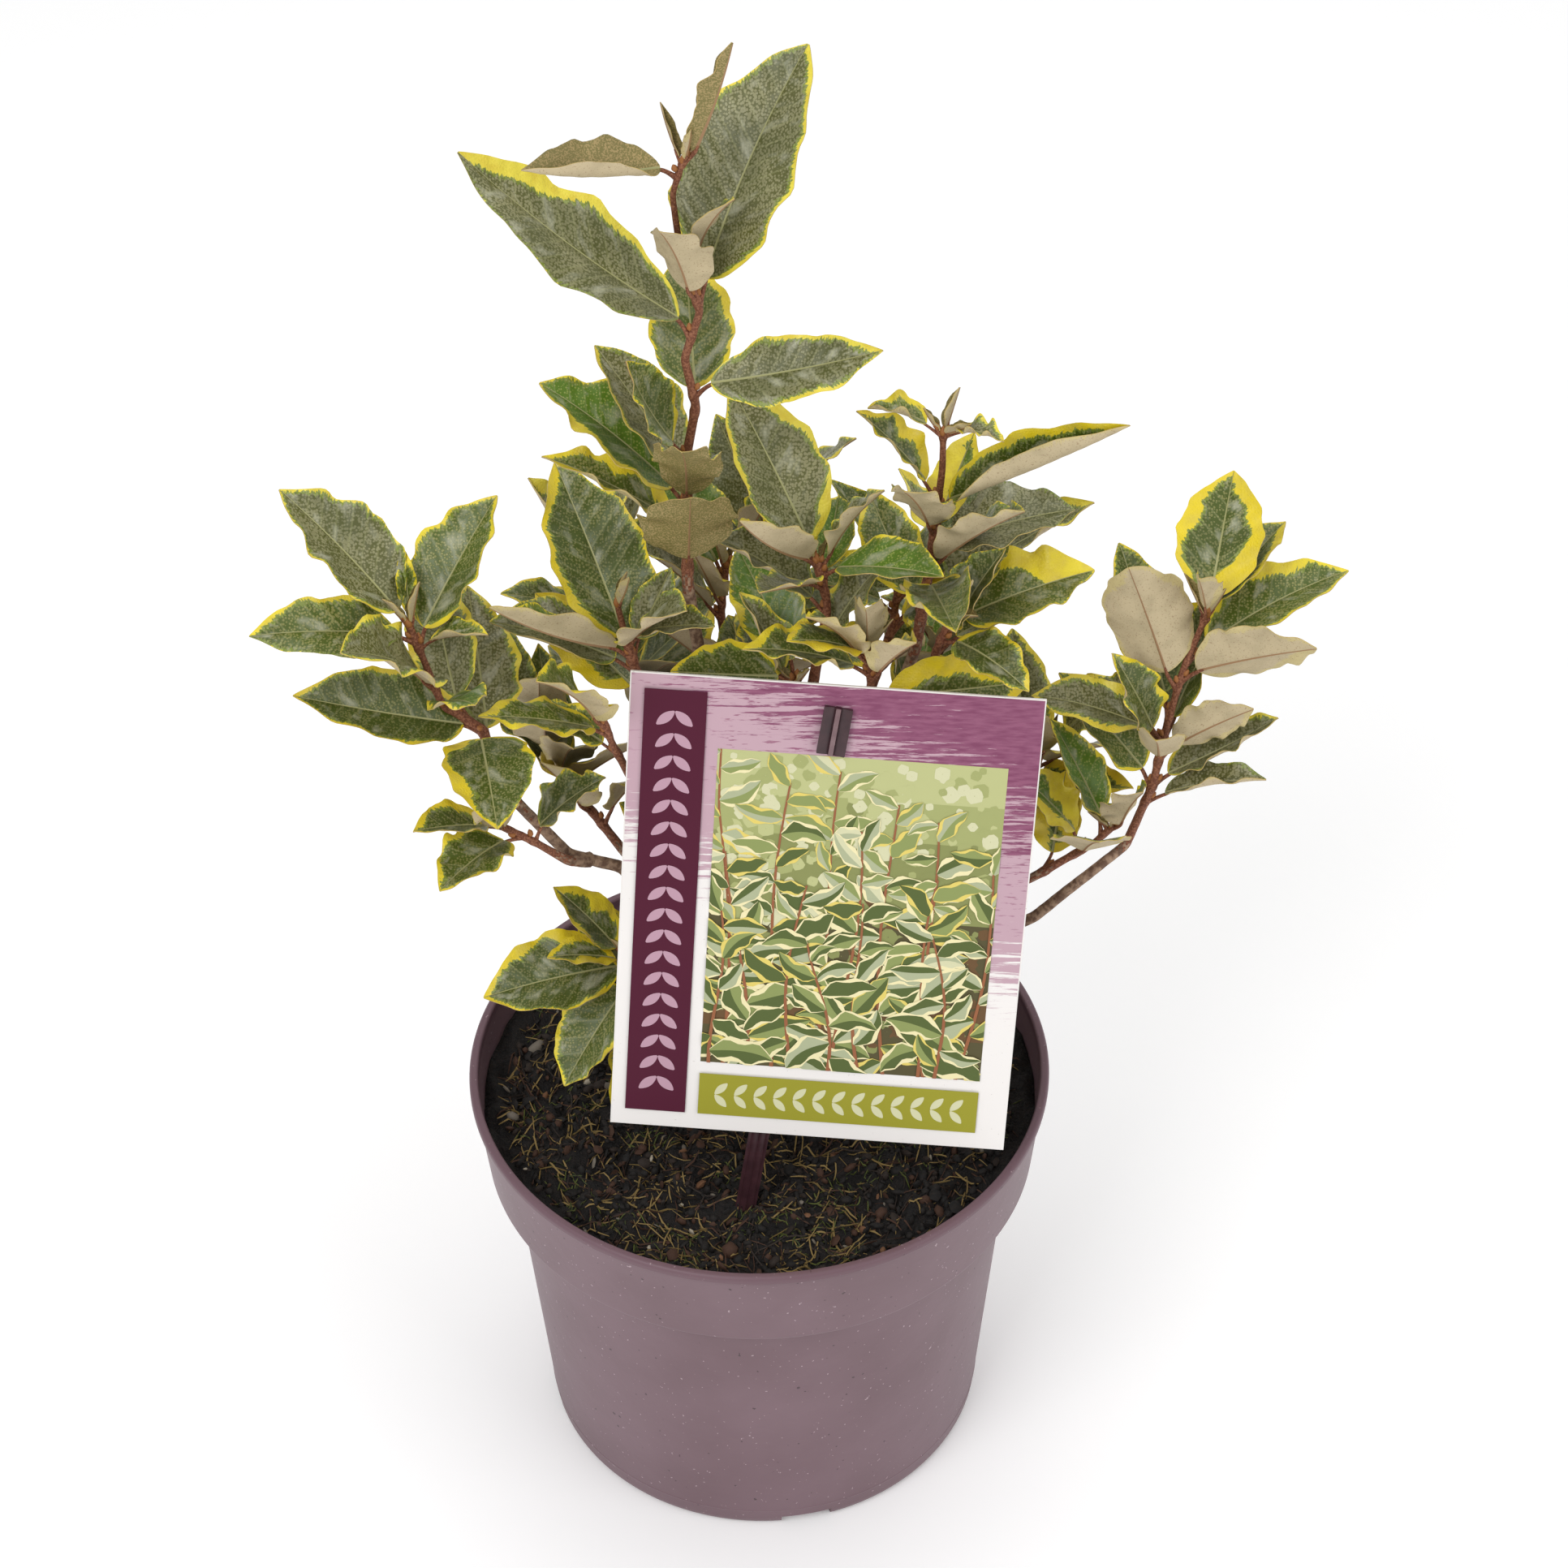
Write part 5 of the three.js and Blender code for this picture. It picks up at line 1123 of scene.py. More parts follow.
def strewn_grit(skins, count, seed, finishes, size, where):
    """Grains and crumbs on the peat: each an icosahedron squashed and turned by its own matrix."""
    g = (1 + 5 ** 0.5) / 2
    corners = unit([(-1, g, 0), (1, g, 0), (-1, -g, 0), (1, -g, 0), (0, -1, g), (0, 1, g),
                    (0, -1, -g), (0, 1, -g), (g, 0, -1), (g, 0, 1), (-g, 0, -1), (-g, 0, 1)])
    sides = [(0, 11, 5), (0, 5, 1), (0, 1, 7), (0, 7, 10), (0, 10, 11), (1, 5, 9), (5, 11, 4),
             (11, 10, 2), (10, 7, 6), (7, 1, 8), (3, 9, 4), (3, 4, 2), (3, 2, 6), (3, 6, 8),
             (3, 8, 9), (4, 9, 5), (2, 4, 11), (6, 2, 10), (8, 6, 7), (9, 8, 1)]
    chance = np.random.default_rng(seed)
    middle = strewn(chance, count, where)
    count = len(middle)
    scale = chance.uniform(*size, count) * chance.uniform(0.5, 1, count)
    form = np.eye(3) + chance.normal(0, 0.33, (count, 3, 3))
    form *= np.sign(np.linalg.det(form))[:, None, None] * scale[:, None, None]
    height = soil_height(middle[:, 0], middle[:, 1]) + scale * 0.3
    places = np.concatenate([middle, height[:, None]], 1)[:, None] + corners @ form
    faces = np.column_stack([sides, np.full(len(sides), -1)])
    skins.add(places, repeated(faces, 12, count), np.repeat(chance.choice(finishes, count), 20))


def off_trunk(p):
    """True where places on the peat are clear of the trunk's foot."""
    return np.hypot(p[:, 0] - TRUNK_FOOT[0], p[:, 1] - TRUNK_FOOT[1]) > TRUNK_FLARE + 1


def mossy(p):
    """True in the patches of moss, which keep away from the trunk."""
    return (rough(p[:, 0], p[:, 1], 34, 41) > 0.25) & (np.hypot(*p.T) > 35)


def make_soil(peat, litter):
    """The peat as one turned body with a rough top, and on it crumbs, straw, moss and grit."""
    side = inner_wall(SOIL_TOP, GAP)[::-1]
    rim, (foot_radius, foot) = side[-1][0], side[0]
    rings = [(rim * r, SOIL_TOP) for r in np.linspace(1, 0.004, 96)]
    profile = [(foot_radius * 0.02, foot)] + side + rings[1:]
    places, faces = turned(profile, TURN * np.arange(260) / 260)
    top = places[:, 2] > SOIL_TOP - 0.01
    places[top, 2] = soil_height(places[top, 0], places[top, 1])
    skins = Skins()
    skins.add(places, faces)
    skins.piece('peat', [peat], 'soil', ['soil'], sharp=80)
    # Peat crumbs, pale granules with grit, and chips, each with its sizes in mm. Then straws and
    # brown fibres, and last the moss.
    bits = Skins()
    strewn_grit(bits, 3600, 21, [0, 0, 0, 0, 0, 3, 1], (0.6, 1.9), off_trunk)
    strewn_grit(bits, 130, 22, [4, 5, 6], (0.6, 1.7), off_trunk)
    strewn_grit(bits, 26, 23, [5, 1, 6], (1.6, 3.4), off_trunk)
    strewn_fibres(bits, 1700, 24, [1, 2, 2, 3], (4, 15), (0.16, 0.36), 2.2, off_trunk)
    strewn_fibres(bits, 2600, 25, [7, 7, 8], (1.6, 5.5), (0.14, 0.3), 2.4, mossy)
    bits.piece('peat_litter', litter, 'soil', sharp=60)


def on_label(x, y, z):
    """Places in the plant's frame from mm across the label, up it and out of it."""
    return np.asarray(CARD_CENTRE) + np.stack(np.broadcast_arrays(x, y, z), -1) @ LABEL_AXES.T


def printed(skins, x, y, layer, finish, film=INK_FILM):
    """A printed shape from a grid of places on the card: a film of ink as high as its layer."""
    base = PRINT_FOOT + INK_STEP * layer
    places, upper, lower, rim = sheet(on_label(x, y, base + film), on_label(x, y, base))
    if np.ndim(finish):
        finish = np.concatenate([finish, finish, np.full(len(rim), finish[0])])
    skins.add(places, np.concatenate([upper, lower, rim]), finish)


def strip(x0, x1, y0, y1, count=2):
    """A plain rectangle as a grid of places: x across each row, y falling from row to row."""
    y, x = np.meshgrid(np.linspace(y1, y0, count), np.linspace(x0, x1, count), indexing='ij')
    return x, y


def make_field(washed):
    """The card's printed ground: a film over its face, with places on it mapped in 100 mm."""
    right, top = CARD_WIDTH / 2 - PRINT_INSET, CARD_HEIGHT / 2 - PRINT_INSET
    x, y = strip(-right, right, -top, top, 9)
    top_skin, foot_skin = on_label(x, y, PRINT_FOOT + INK_STEP), on_label(x, y, PRINT_FOOT)
    places, upper, lower, rim = sheet(top_skin, foot_skin)
    flat = np.stack([x / CARD_WIDTH + 0.5, y / CARD_HEIGHT + 0.5], -1).reshape(-1, 2)
    atlas = np.concatenate([0.01 + 0.94 * flat, 0.965 + 0.03 * flat])
    corner = np.array([(0.2, 0.975), (0.21, 0.975), (0.21, 0.985), (0.2, 0.985)])
    rim_map = np.tile(corner, (len(rim), 1, 1))
    faces = np.concatenate([upper, lower, rim])
    ink = np.tile(np.stack([x, y], -1).reshape(-1, 2) / 100, (2, 1))
    skins = Skins('OFBake', 'ink')
    baked = np.concatenate([atlas[upper], atlas[lower], rim_map])
    skins.add(places, faces, 0, OFBake=baked, ink=ink[faces])
    skins.piece('card_field', [washed], 'card')


def make_print(inks):
    """What is printed on the field: a panel of leafy sprigs, and a bar and a band with garlands."""
    skins, chance = Skins(), np.random.default_rng(70)
    tones = [LIGHT, SOFT, MID, MID, DARK, DARK, EARTH, DARK]
    rows = np.linspace(PANEL_HIGH, PANEL_LOW, len(tones) + 1)
    for top, foot, tone in zip(rows[:-1], rows[1:], tones):
        printed(skins, *strip(PANEL_LEFT, PANEL_RIGHT, foot, top), 1, tone)
    for k in range(DAB_COUNT):
        dab(skins, chance, 2 + 0.002 * k)
    layer = 4.2
    for number, foot in enumerate(SPRIG_FEET):
        layer = sprig(skins, chance, number, foot, layer) + 0.1
    printed(skins, *strip(PANEL_LEFT, PANEL_RIGHT, BAR_LOW, BAR_HIGH), layer + 1, OLIVE)
    printed(skins, *strip(BAND_LEFT, BAND_RIGHT, BAR_LOW, BAND_HIGH), layer + 1, BAND)
    bar_start = PANEL_LEFT + 5, (BAR_LOW + BAR_HIGH) / 2
    garland(skins, bar_start, (1, 0), 13, 6.2, 6.0, layer + 2, PALE)
    band_start = (BAND_LEFT + BAND_RIGHT) / 2, BAND_HIGH - 7
    garland(skins, band_start, (0, -1), 18, 7.6, 7.5, layer + 2, GARLAND)
    skins.piece('card_print', inks, 'card', sharp=30)


def dab(skins, chance, layer):
    """A soft round behind the sprigs, wavy by a tenth, dark low in the panel and light high up."""
    size = chance.uniform(0.9, 3.0)
    x = chance.uniform(PANEL_LEFT + size, PANEL_RIGHT - size)
    y = chance.uniform(PANEL_LOW + size, PANEL_HIGH - size)
    share = (y - PANEL_LOW) / (PANEL_HIGH - PANEL_LOW) + chance.uniform(-0.15, 0.15)
    share += 0.25 if x < -2 else 0
    tone = chance.choice([DARK, EARTH, MID] if share < 0.5 else
                         [MID, SOFT, MID] if share < 0.75 else [LIGHT, SOFT, PALE])
    ring, turn = np.meshgrid([0.05, 1], np.linspace(0, TURN, 11), indexing='ij')
    wavy = size * (1 + 0.1 * np.sin(4 * turn + 9 * size)) * ring
    printed(skins, x + wavy * np.cos(turn), y - wavy * np.sin(turn), layer, tone, DAB_FILM)


def sprig(skins, chance, number, foot, layer):
    """A stem that sways up from the panel's foot, with leaves by turns. Gives its last layer."""
    t = np.linspace(0, 1, 12)
    tall = (PANEL_HIGH - PANEL_LOW) * (1 - 0.045 * number)
    sway = foot + chance.uniform(-7, 7) * t + 2.5 * np.sin(4 * t + number)
    x, y = np.clip(sway, PANEL_LEFT + 1, PANEL_RIGHT - 1), PANEL_LOW + tall * t
    wide = 0.6 - 0.3 * t
    sides = np.stack([x - wide, x + wide], 1)[::-1]
    printed(skins, sides, np.stack([y, y], 1)[::-1], layer, TWIG, THIN_FILM)
    count = int(tall / SPRIG_SPACING)
    for k in range(count):
        s = 1 - (k + 0.2) / count
        layer += 0.07
        long = chance.uniform(13, 22) * (1 - 0.3 * s)
        rise = chance.uniform(-45, 50) + 25 * s
        start = np.interp(s, t, x), np.interp(s, t, y)
        printed_leaf(skins, start, 1 if k % 2 else -1, rise, long, chance, layer)
    return layer


def printed_leaf(skins, start, hand, rise, long, chance, layer):
    """A printed leaf: two halves of green between wavy cream edges, clipped to the panel.

    At t along it each half is long * (0.22 to 0.31) * 2.4 t^0.7 (1 - t)^0.85 wide, with a wave of
    0.16, and the line between green and cream lies at 0.72 of that, with a wave of 0.25.
    """
    t, v = np.meshgrid(np.linspace(0.985, 0.015, 10), [-1, -0.72, 0, 0.72, 1], indexing='ij')
    inner = np.abs(v) == 0.72
    ragged = 1 + 0.25 * np.sin(TURN * 1.7 * t + chance.uniform(0, TURN, (1, 5)))
    v = v * np.where(inner, ragged, 1)
    wave = 1 + 0.16 * np.sin(TURN * 2.1 * t + chance.uniform(0, TURN) + np.sign(v))
    wide = long * chance.uniform(0.22, 0.31) * 2.4 * t ** 0.7 * (1 - t) ** 0.85 * wave
    a = (rise + chance.uniform(-30, 20) * t * t) * RADIANS
    x = start[0] + hand * (long * t * np.cos(a) + wide * v * np.sin(a))
    y = start[1] + long * t * np.sin(a) - wide * v * np.cos(a)
    x, y = np.clip(x, *PANEL[:2]), np.clip(y, *PANEL[2:])
    if hand > 0:
        x, y = x[:, ::-1], y[:, ::-1]
    edge = chance.choice([MARGIN, MARGIN, MARGIN_GOLD])
    pale = [(LEAF_GREY, LEAF_LIGHT), (LEAF_LIGHT, LEAF_GREY), (PALE, LEAF_GREY),
            (LEAF_LIGHT, LEAF_LIGHT)]
    deep = [(LEAF, LEAF_LIGHT), (LEAF, LEAF), (LEAF_LIGHT, LEAF), (LEAF_GREY, LEAF),
            (LEAF, LEAF_GREY)]
    pairs = pale if start[1] > chance.uniform(-20, 45) else deep
    halves = pairs[chance.integers(len(pairs))]
    printed(skins, x, y, layer, np.tile([edge, *halves, edge], 9), THIN_FILM)


def garland(skins, start, way, count, step, long, layer, tone):
    """Pairs of small leaves along a line, each 0.42 sin(pi t)^0.8 of its length wide at t."""
    t, v = np.meshgrid(np.linspace(0.97, 0.03, 9), [-1, 0, 1], indexing='ij')
    wide = 0.21 * long * np.sin(np.pi * t) ** 0.8 * v
    way = np.array(way)
    for k in range(count):
        for lean in (GARLAND_LEAN * RADIANS, -GARLAND_LEAN * RADIANS):
            out = way * np.cos(lean) + way[::-1] * (-np.sin(lean), np.sin(lean))
            x = start[0] + way[0] * step * k + out[0] * long * t + out[1] * wide
            y = start[1] + way[1] * step * k + out[1] * long * t - out[0] * wide
            printed(skins, x, y, layer, tone)


def make_stake(plastic, rib_highlight):
    """The label's stake: a grooved bar behind the card, and the ribbed head that holds the card.

    Each length is a box section carried up the card's height, its front and back hollowed by a
    depth that goes with w, the place across it from -1 to 1. The bar's grooves are
    0.45 |sin(1.5 pi w)|^0.6 deep. The head falls 1.2 mm beside its rib and rises again outwards.
    """
    skins = Skins()
    tilt = STAKE_TILT * RADIANS
    w = np.linspace(-1, 1, 25)
    ribbed = np.where(np.abs(w) < 0.2, 0, 1.2 - 1.1 * (np.abs(w) - 0.2))

    def bar(stations, half_width, front, back, hollow, highlit_rib=False):
        """One length, from stations of a height and the shares of its width and thickness there."""
        rows = []
        for y, wide, thick in stations:
            middle = (front + back) / 2
            z_front = middle + (front - middle - hollow) * thick
            z_back = middle + (back - middle + np.minimum(hollow, 0.5)) * thick
            across = np.concatenate([w, w[::-1]]) * half_width * wide
            out = np.concatenate([z_back, z_front[::-1]])
            rows.append(np.stack([across, np.full(50, y), out], -1))
        local = np.array(rows) - (0, STAKE_HEAD, 0)
        x = local[..., 0] * np.cos(tilt) - local[..., 1] * np.sin(tilt)
        y = local[..., 0] * np.sin(tilt) + local[..., 1] * np.cos(tilt)
        rings = on_label(x + STAKE_ACROSS, y + STAKE_HEAD - CARD_THICKNESS, local[..., 2])
        places, faces = capped(rings, [rings[0].mean(0), rings[-1].mean(0)])
        # The rib's faces take the paler plastic, a painted highlight.
        on_rib = (faces[:, 3] >= 0) & (np.abs(faces[:, 0] % 50 - 36.5) < 2) & highlit_rib
        skins.add(places, faces, on_rib * 1)

    behind = -CARD_THICKNESS / 2 - GAP
    before = CARD_THICKNESS / 2 + GAP
    foot = STAKE_HEAD - STAKE_LENGTH
    neck = STAKE_HEAD - STAKE_STEP
    grooved = 0.45 * np.abs(np.sin(1.5 * np.pi * w)) ** 0.6
    bar([(foot, 0.12, 0.3), (foot + STAKE_POINT, 1, 1), (neck + 2.6, 1, 1), (neck + 3, 0.94, 0.8)],
        STAKE_WIDTH / 2, behind, behind - STAKE_THICKNESS, grooved)
    bar([(neck, 1, 1), (neck + 3, 1, 1)], STAKE_WIDTH / 2 * 0.9, before + 0.4, behind - 0.5, 0 * w)
    bar([(neck - 3, 0.95, 0.85), (neck - 2.6, 1, 1), (STAKE_HEAD - 0.4, 1, 1),
         (STAKE_HEAD, 0.95, 0.85)],
        STAKE_WIDTH / 2 * 1.34, before + STAKE_THICKNESS * 0.7 + 0.5, before, ribbed, highlit_rib=True)
    skins.piece('label_clip', [plastic, rib_highlight], 'stake', ['label_stake'], sharp=30)


def past_margin(tree, reach):
    """How many mm a place is past the edge of the yellow, made ragged along the side veins."""
    veins = add(tree, 'UVMap', uv_map='veins').outputs[0]
    run = add(tree, 'Mapping', {'Vector': veins, 'Scale': (4.5, 2.2, 1.0)}).outputs[0]
    rag = add(tree, 'TexNoise', {'Vector': run, 'Scale': 1.0, 'Detail': 3.0, 'Roughness': 0.6})
    flat = add(tree, 'SeparateXYZ', {0: add(tree, 'UVMap', uv_map='margin').outputs[0]})
    moved = maths(tree, 'ADD', rag.outputs[0], -0.5)
    return maths(tree, 'ADD', flat.outputs[0], times(tree, moved, reach))


def scales(tree, spacing, reach):
    """A share that is 1 on round scales spacing mm apart, with a radius of about reach of that."""
    where = add(tree, 'TexCoord').outputs['Object']
    cells = add(tree, 'TexVoronoi', {'Vector': where, 'Scale': 1000 / spacing, 'Randomness': 0.7})
    thick = times(tree, speckle(tree, 9, 0.2, 0.8, 3.0), 0.3)
    past = maths(tree, 'SUBTRACT', thick, cells.outputs['Distance'])
    return ramp(tree, past, -reach - 0.02, 0.12 - reach)


def leaf_finishes():
    """The finishes of the leaves, in the order that the blades count on."""
    finishes = []
    # Waxy green leaf under a dust of silver scales: olive, with a satin shine, pale blotches of
    # painted sheen along the side veins, and a smooth yellow margin whose inner edge is ragged.
    # A scale is about 0.3 mm wide and is drawn 0.6 mm wide so that it shows.
    for name, deep, dust, cover, gold in (('green', '#4d5d14', '#8b8a4e', 0.34, '#e6d22c'),
                                          ('deep', '#465412', '#80804a', 0.32, '#e2ca22'),
                                          ('grey', '#5a5b2b', '#908d66', 0.40, '#e4d446'),
                                          ('clear', '#55751a', '#909c48', 0.26, '#e8d638')):
        made, tree, shader = material('leaf_top_' + name, deep, 0.38, Specular_IOR_Level=0.5)
        grain = scales(tree, 0.85, cover)
        veins = add(tree, 'UVMap', uv_map='veins').outputs[0]
        along_veins = add(tree, 'SeparateXYZ', {0: veins}).outputs[0]
        wave = maths(tree, 'COSINE', times(tree, along_veins, TURN))
        ground = blend(tree, times(tree, grain, 0.85), deep, dust)
        sheen_panes = add(tree, 'Mapping', {'Vector': veins, 'Scale': (0.9, 1.7, 1.0)}).outputs[0]
        dark = times(tree, speckle(tree, 20, 0.44, 0.66, 3.0), 0.45)
        ground = blend(tree, dark, ground, '#3c4416')
        # Painted sheen: pale blotches stretched along the side veins.
        pale = times(tree, speckle(tree, 1000, 0.54, 0.7, 3.0, sheen_panes), 0.6)
        ground = blend(tree, pale, ground, '#b6b69e')
        ground = blend(tree, times(tree, ramp(tree, wave, 0.86, 1.0), 0.22), ground, '#a8a878')
        between = blend(tree, times(tree, grain, 0.5), '#75822f', '#9aa268')
        golden = blend(tree, speckle(tree, 5, 0.4, 0.65), gold, '#d8c23a')
        ground = blend(tree, ramp(tree, past_margin(tree, 7.0), -1.3, -0.9), ground, between)
        ground = blend(tree, ramp(tree, past_margin(tree, 5.0), -0.12, 0.12), ground, golden)
        coloured(tree, shader, ground)
        height = maths(tree, 'ADD', times(tree, wave, 0.5), times(tree, grain, 0.3))
        relief(tree, shader, height, 0.16)
        finishes.append(made)
    # Underside: felt of silver-beige scales with brown dots, matt, a little yellow at the margin.
    # Dots are drawn 0.5 mm wide.
    made, tree, shader = material('leaf_underside', '#b7a888', 0.78)
    ground = blend(tree, times(tree, speckle(tree, 6, 0.45, 0.7, 3.0), 0.5), '#bbab89', '#a09273')
    golden = times(tree, ramp(tree, past_margin(tree, 5.0), -0.3, 0.3), 0.4)
    ground = blend(tree, golden, ground, '#c8b869')
    ground = blend(tree, times(tree, speckle(tree, 0.5, 0.6, 0.68), 0.6), ground, '#86694a')
    coloured(tree, shader, ground)
    finishes.append(made)
    # Ribs: pale and smooth above, under cinnamon scales below.
    finishes.append(material('rib_above', '#9d9c6a', 0.5)[0])
    finishes.append(material('rib_below', '#957350', 0.6)[0])
    # The rim, where the scales of the underside turn over the edge.
    finishes.append(material('leaf_rim', '#b39a5a', 0.6)[0])
    # Young leaf: olive under a thick dust of golden-brown scales.
    finishes.append(mottled('young_leaf', '#857f4a', 0.6, '#766d3a', '#a18c5c', (0.5, 0.45, 0.62)))
    return finishes


def make_foliage(plant, finishes):
    """One piece of blades for each mass, in the place of its solid."""
    number = 0
    for shoot in SHOOTS:
        blades = [(leaf, False) for leaf in plant.grown[shoot.name]]
        blades += [(leaf, True) for leaf in plant.young[shoot.name]]
        skins = Skins('OFBake', 'veins', 'margin')
        cols = int(np.ceil(np.sqrt(len(blades))))
        rows = int(np.ceil(len(blades) / cols))
        for k, (leaf, young) in enumerate(blades):
            number += 1
            chance = Dice(977 * number + 13, skip=5)
            tone, spread = int(chance.roll(0, 3.4)), chance.roll(0, 1)
            mean = leaf.length / 50 * (0.8 + 1.6 * spread + 6 * spread ** 8)
            drawn = (tone, mean * chance.roll(0.4, 1.6), mean * chance.roll(0.4, 1.6),
                     chance.roll(-0.5, 0.9), chance.roll(-0.5, 0.9))
            cell = (k % cols / cols, k // cols / rows, 1 / cols, 1 / rows)
            leaf_skins(leaf, number, cell, skins, KNOWN.get((shoot.name, k), drawn), young)
        skins.piece('leaves_' + shoot.name, finishes, 'foliage', ['foliage_' + shoot.name],
                    sharp=70)


def bark_finishes():
    """Old bark, young bark and buds."""
    # Old bark: dull brown with paler, rubbed patches, and furrows.
    old = mottled('old_bark', '#5b4234', 0.8, '#6c5140', '#a48870', (2.2, 0.4, 0.62, 4.0),
                  (0.9, 0.3, 0.7, 4.0), 0.25)
    # This year's shoots: cinnamon scales, fine and dry.
    fresh = mottled('cinnamon_shoot', '#84472f', 0.72, '#6c3b25', '#956145', (0.7, 0.42, 0.62, 3.0),
                    (0.5, 0.3, 0.7, 3.0), 0.15)
    # Buds: bare scales of orange-brown.
    return old, fresh, material('orange_bud', '#97602f', 0.65)[0]


def pot_finish():
    """Thermoformed polypropylene, dyed plum: satin, darker on its lip, with fine dust and a painted
    highlight along its step.
    """
    made, tree, shader = material('plum_polypropylene', '#7b626b', 0.46, Specular_IOR_Level=0.4)
    ground = blend(tree, speckle(tree, 40, 0.3, 0.7, 3.0), '#6d555c', '#775f67')
    ground = blend(tree, speckle(tree, 1.3, 0.735, 0.76, 1.0), ground, '#a8949a')
    ground = blend(tree, speckle(tree, 2.1, 0.755, 0.77, 1.0), ground, '#4c3a40')
    height = add(tree, 'SeparateXYZ', {0: add(tree, 'TexCoord').outputs['Object']}).outputs[2]
    # Darker on the lip, above 144.5 mm.
    ground = blend(tree, times(tree, ramp(tree, height, 0.1445, 0.1452), 0.4), ground, '#5a3b46')
    # Painted highlight: a paler line along the step's edge.
    step = times(tree, ramp(tree, height, 0.1128, 0.1136), ramp(tree, height, 0.1150, 0.1142))
    ground = blend(tree, times(tree, step, 0.5), ground, '#a58f96')
    coloured(tree, shader, ground)
    relief(tree, shader, speckle(tree, 6, 0.3, 0.7, 3.0), 0.05)
    return made


def soil_finishes():
    """Moist peat and what lies on it."""
    peat = mottled('moist_peat', '#1d140f', 0.85, '#090605', '#18100c', (2.5, 0.4, 0.65, 4.0),
                   (1.2, 0.3, 0.7, 5.0), 0.8)
    litter = [mottled('peat_crumb', '#1b130e', 0.8, '#080504', '#160f0b', (1.5, 0.4, 0.6))]
    for name, shade in (('red_brown_fibre', '#3f2617'), ('straw', '#806a3c'),
                        ('dark_fibre', '#241912'), ('pale_granule', '#a49a88'),
                        ('grey_grit', '#6f675c'), ('bark_chip', '#6d4a30'),
                        ('moss', '#4b521d'), ('dark_moss', '#343d18')):
        litter.append(material(name, shade, 0.8)[0])
    return peat, litter


def field_finish():
    """Coated card under a wash of ink that thins from plum to lilac and then to bare speckled card.

    Each ink is there where a slope of the place on the card plus a streaky noise passes a level.
    The streaks run across, and the inks thin towards the foot, and a little to the left.
    """
    made, tree, shader = material('brushed_field', '#c9a5bb', 0.5, Specular_IOR_Level=0.25)
    at = add(tree, 'UVMap', uv_map='ink').outputs[0]
    parts = add(tree, 'SeparateXYZ', {0: at})

    def stretched(across, up):
        """The card's places with so many cells in 100 mm across it and up it, nearly level."""
        cell = (1 / across, 1 / up, 1.0)
        return add(tree, 'Mapping', {'Vector': at, 'Rotation': (0, 0, 0.06), 'Scale': cell},
                   vector_type='TEXTURE').outputs[0]

    def slope(rise):
        """How far up and to the right a place is."""
        across, up = parts.outputs[:2]
        return maths(tree, 'ADD', times(tree, across, 0.3), times(tree, up, rise))

    streak = add(tree, 'TexNoise', {'Vector': stretched(4, 60), 'Scale': 1.0, 'Detail': 6.0,
                                    'Roughness': 0.7}).outputs[0]
    plum = ramp(tree, maths(tree, 'ADD', slope(0.6), streak), 0.87, 0.91)
    lilac = ramp(tree, maths(tree, 'ADD', slope(0.8), streak), 0.49, 0.56)
    fleck = add(tree, 'TexNoise', {'Vector': at, 'Scale': 90.0, 'Detail': 2.0}).outputs[0]
    ground = blend(tree, times(tree, ramp(tree, fleck, 0.7, 0.74), 0.5), '#eae6e3', '#b9b0ac')
    ground = blend(tree, times(tree, lilac, 0.95), ground, '#bb99a6')
    dabs = stretched(16, 90)
    dry = times(tree, speckle(tree, 1000, 0.62, 0.66, 3.0, dabs), ramp(tree, slope(0.6), 0.1, 0.25))
    ground = blend(tree, times(tree, dry, 0.8), ground, '#8f5871')
    deep = blend(tree, speckle(tree, 1000, 0.35, 0.65, 3.0, dabs), '#78385a', '#8e5370')
    coloured(tree, shader, blend(tree, times(tree, plum, 0.95), ground, deep))
    return made


def label_finishes():
    """Coated card, its washed field and its inks, and the plastic of the stake."""
    paper = mottled('white_card', '#e8e4e0', 0.5, '#e8e4e0', '#d1cbc6', (1.0, 0.68, 0.74))
    washed = field_finish()
    inks = [material('ink_' + name, shade, 0.5, Specular_IOR_Level=0.2)[0]
            for name, shade in INKS.items()]
    # The stake: glossy polystyrene, near black but for its plum tint, with a painted highlight:
    # a paler plastic on its rib.
    plastics = [mottled(name, shade, 0.3, low, shade, (4, 0.35, 0.65, 3.0), (3, 0.3, 0.7), 0.02)
                for name, shade, low in (('dark_plum_polystyrene', '#41272c', '#341e23'),
                                         ('rubbed_polystyrene', '#7d6467', '#6b5155'))]
    return paper, washed, inks, plastics


def placed(name, data, place, right, up, back):
    """A lamp or a camera at a place in metres, by the ways its own right, up and back point."""
    made = bpy.data.objects.new(name, data)
    axes = np.column_stack([right, up, back])
    made.matrix_world = Matrix.Translation(place) @ Matrix(axes.tolist()).to_4x4()
    bpy.context.scene.collection.objects.link(made)
    return made


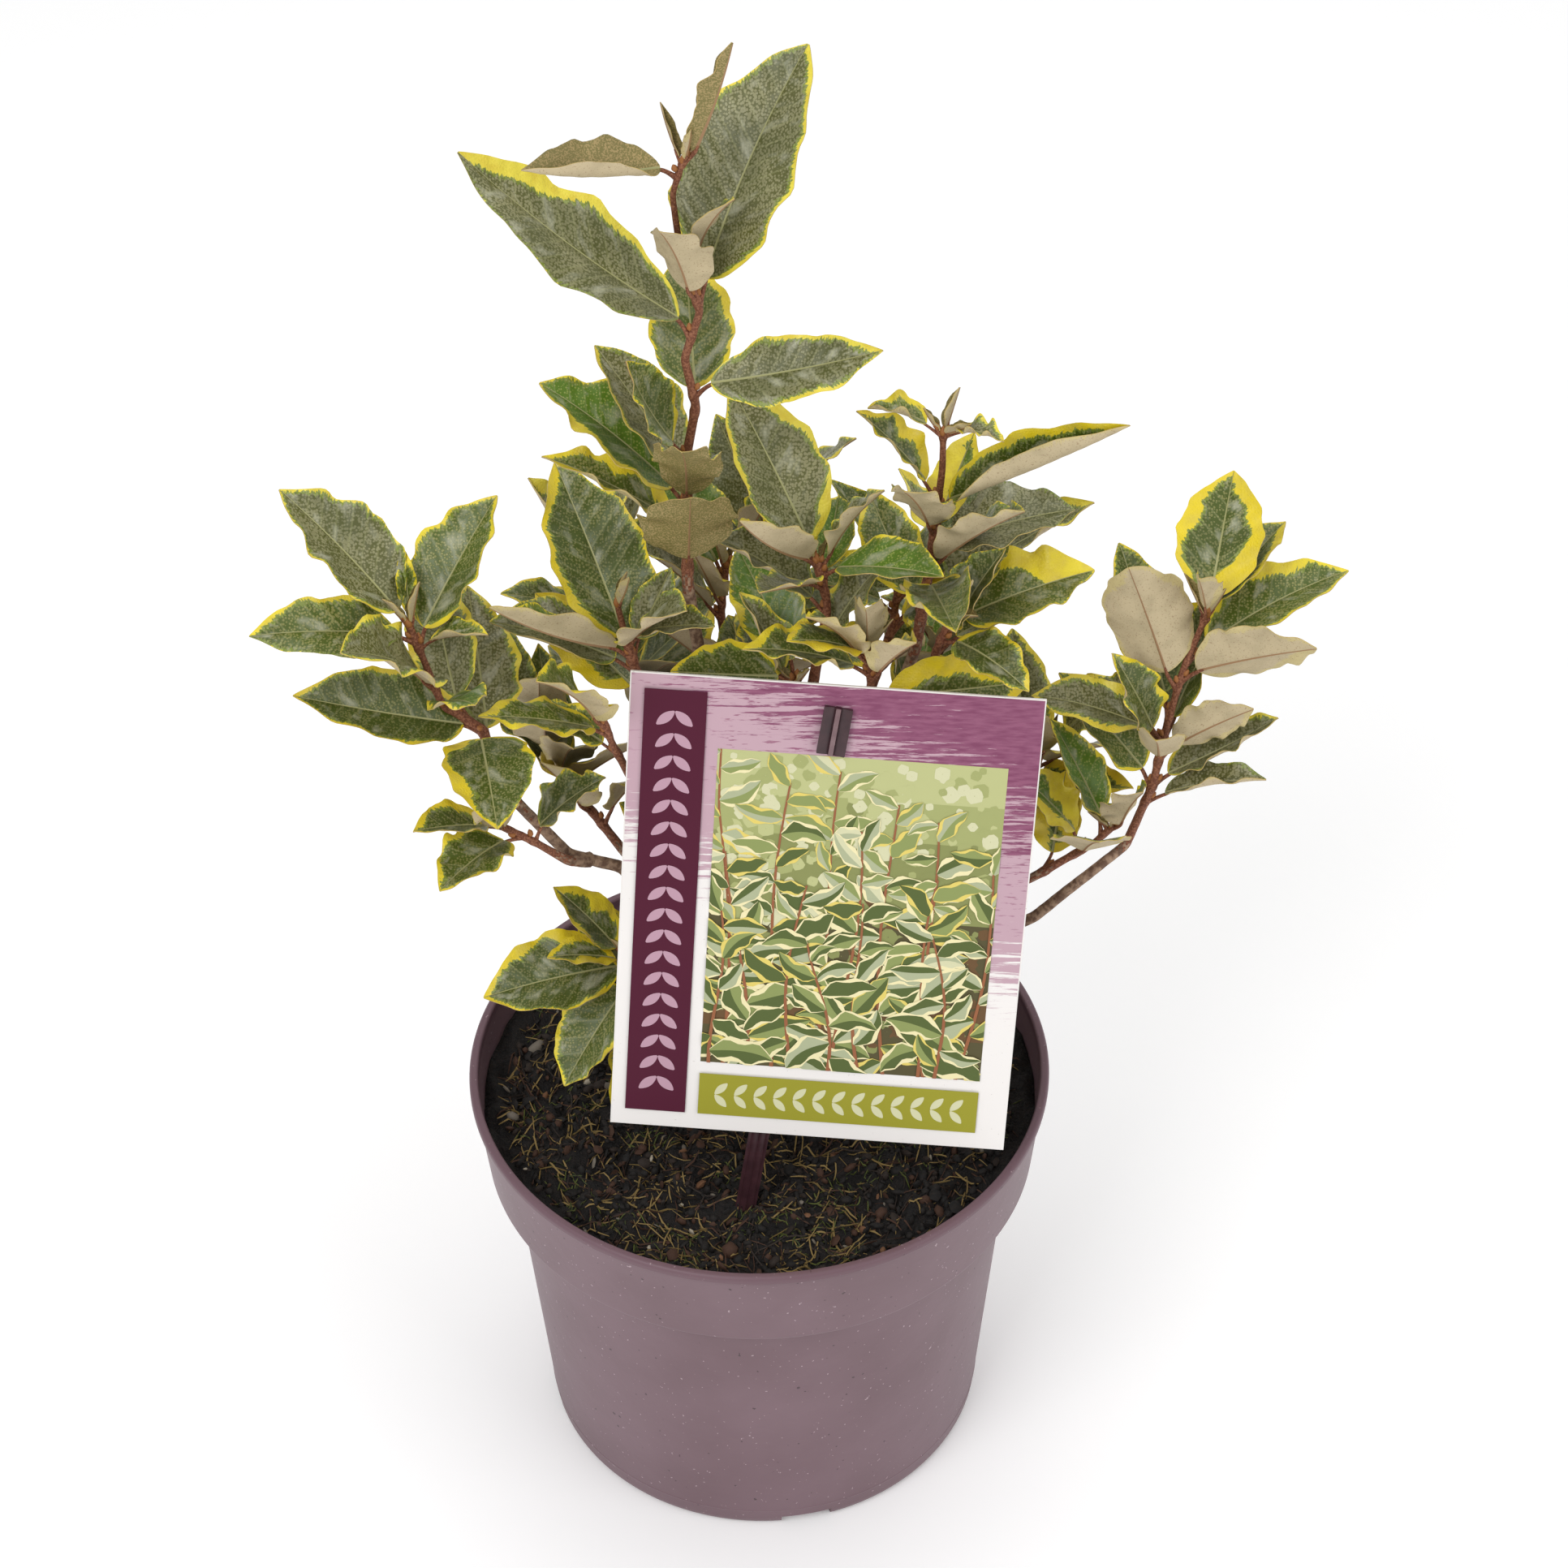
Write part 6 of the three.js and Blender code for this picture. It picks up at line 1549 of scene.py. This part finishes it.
def make_stage():
    """A pale floor just under the pot, a white surround and three soft lamps aimed at the crown."""
    floor = bpy.data.meshes.new('floor')
    corners = [(-4, -3), (4, -3), (4, 6), (-4, 6)]
    floor.from_pydata([(x, y, -2e-4) for x, y in corners], [], [(0, 1, 2, 3)])
    plane = bpy.data.objects.new('floor', floor)
    bpy.context.scene.collection.objects.link(plane)
    floor.materials.append(material('pale_floor', '#fafafa', 0.9, Emission_Color=(1, 1, 1, 1),
                                    Emission_Strength=0.1)[0])
    world = bpy.data.worlds.new('surround')
    world.use_nodes = True
    world.node_tree.nodes['Background'].inputs['Color'].default_value = (1, 1, 1, 1)
    world.node_tree.nodes['Background'].inputs['Strength'].default_value = 0.6
    bpy.context.scene.world = world
    for name, place, size, power in (('key', (-0.9, -1.3, 1.7), 1.1, 18),
                                     ('fill', (1.4, -1.0, 1.1), 1.2, 8.5),
                                     ('top', (0.1, 0.5, 1.9), 1.4, 9)):
        lamp = bpy.data.lights.new(name, 'AREA')
        lamp.energy, lamp.size = power, size
        way = unit(np.array([0.0, 0.0, 0.27]) - place)
        right = unit(np.cross(way, (0, 0, 1)))
        placed(name, lamp, place, right, np.cross(right, way), -way)


def make_camera():
    """The photograph's camera: above the front of the plant, looking down on it."""
    e, r = CAMERA_ELEVATION * RADIANS, CAMERA_ROLL * RADIANS
    back = np.array([0, -np.cos(e), np.sin(e)])
    right, up = np.array([1.0, 0, 0]), np.array([0, np.sin(e), np.cos(e)])
    lens = bpy.data.cameras.new('camera')
    lens.lens, lens.sensor_width = CAMERA_LENS, 36.0
    place = (np.array(CAMERA_AIM) + back * CAMERA_DISTANCE) / 1000
    bpy.context.scene.camera = placed('camera', lens, place, right * np.cos(r) - up * np.sin(r),
                                      up * np.cos(r) + right * np.sin(r), back)


make_camera()
make_stage()
bpy.context.scene.view_settings.view_transform = 'Standard'
plant = Plant()
make_limbs(plant, *bark_finishes())
make_foliage(plant, leaf_finishes())
make_pot(pot_finish())
make_soil(*soil_finishes())
paper, washed, inks, plastics = label_finishes()
make_field(washed)
make_print(inks)
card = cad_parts["label_card"].data
card.materials.clear()
card.materials.append(paper)
make_stake(*plastics)
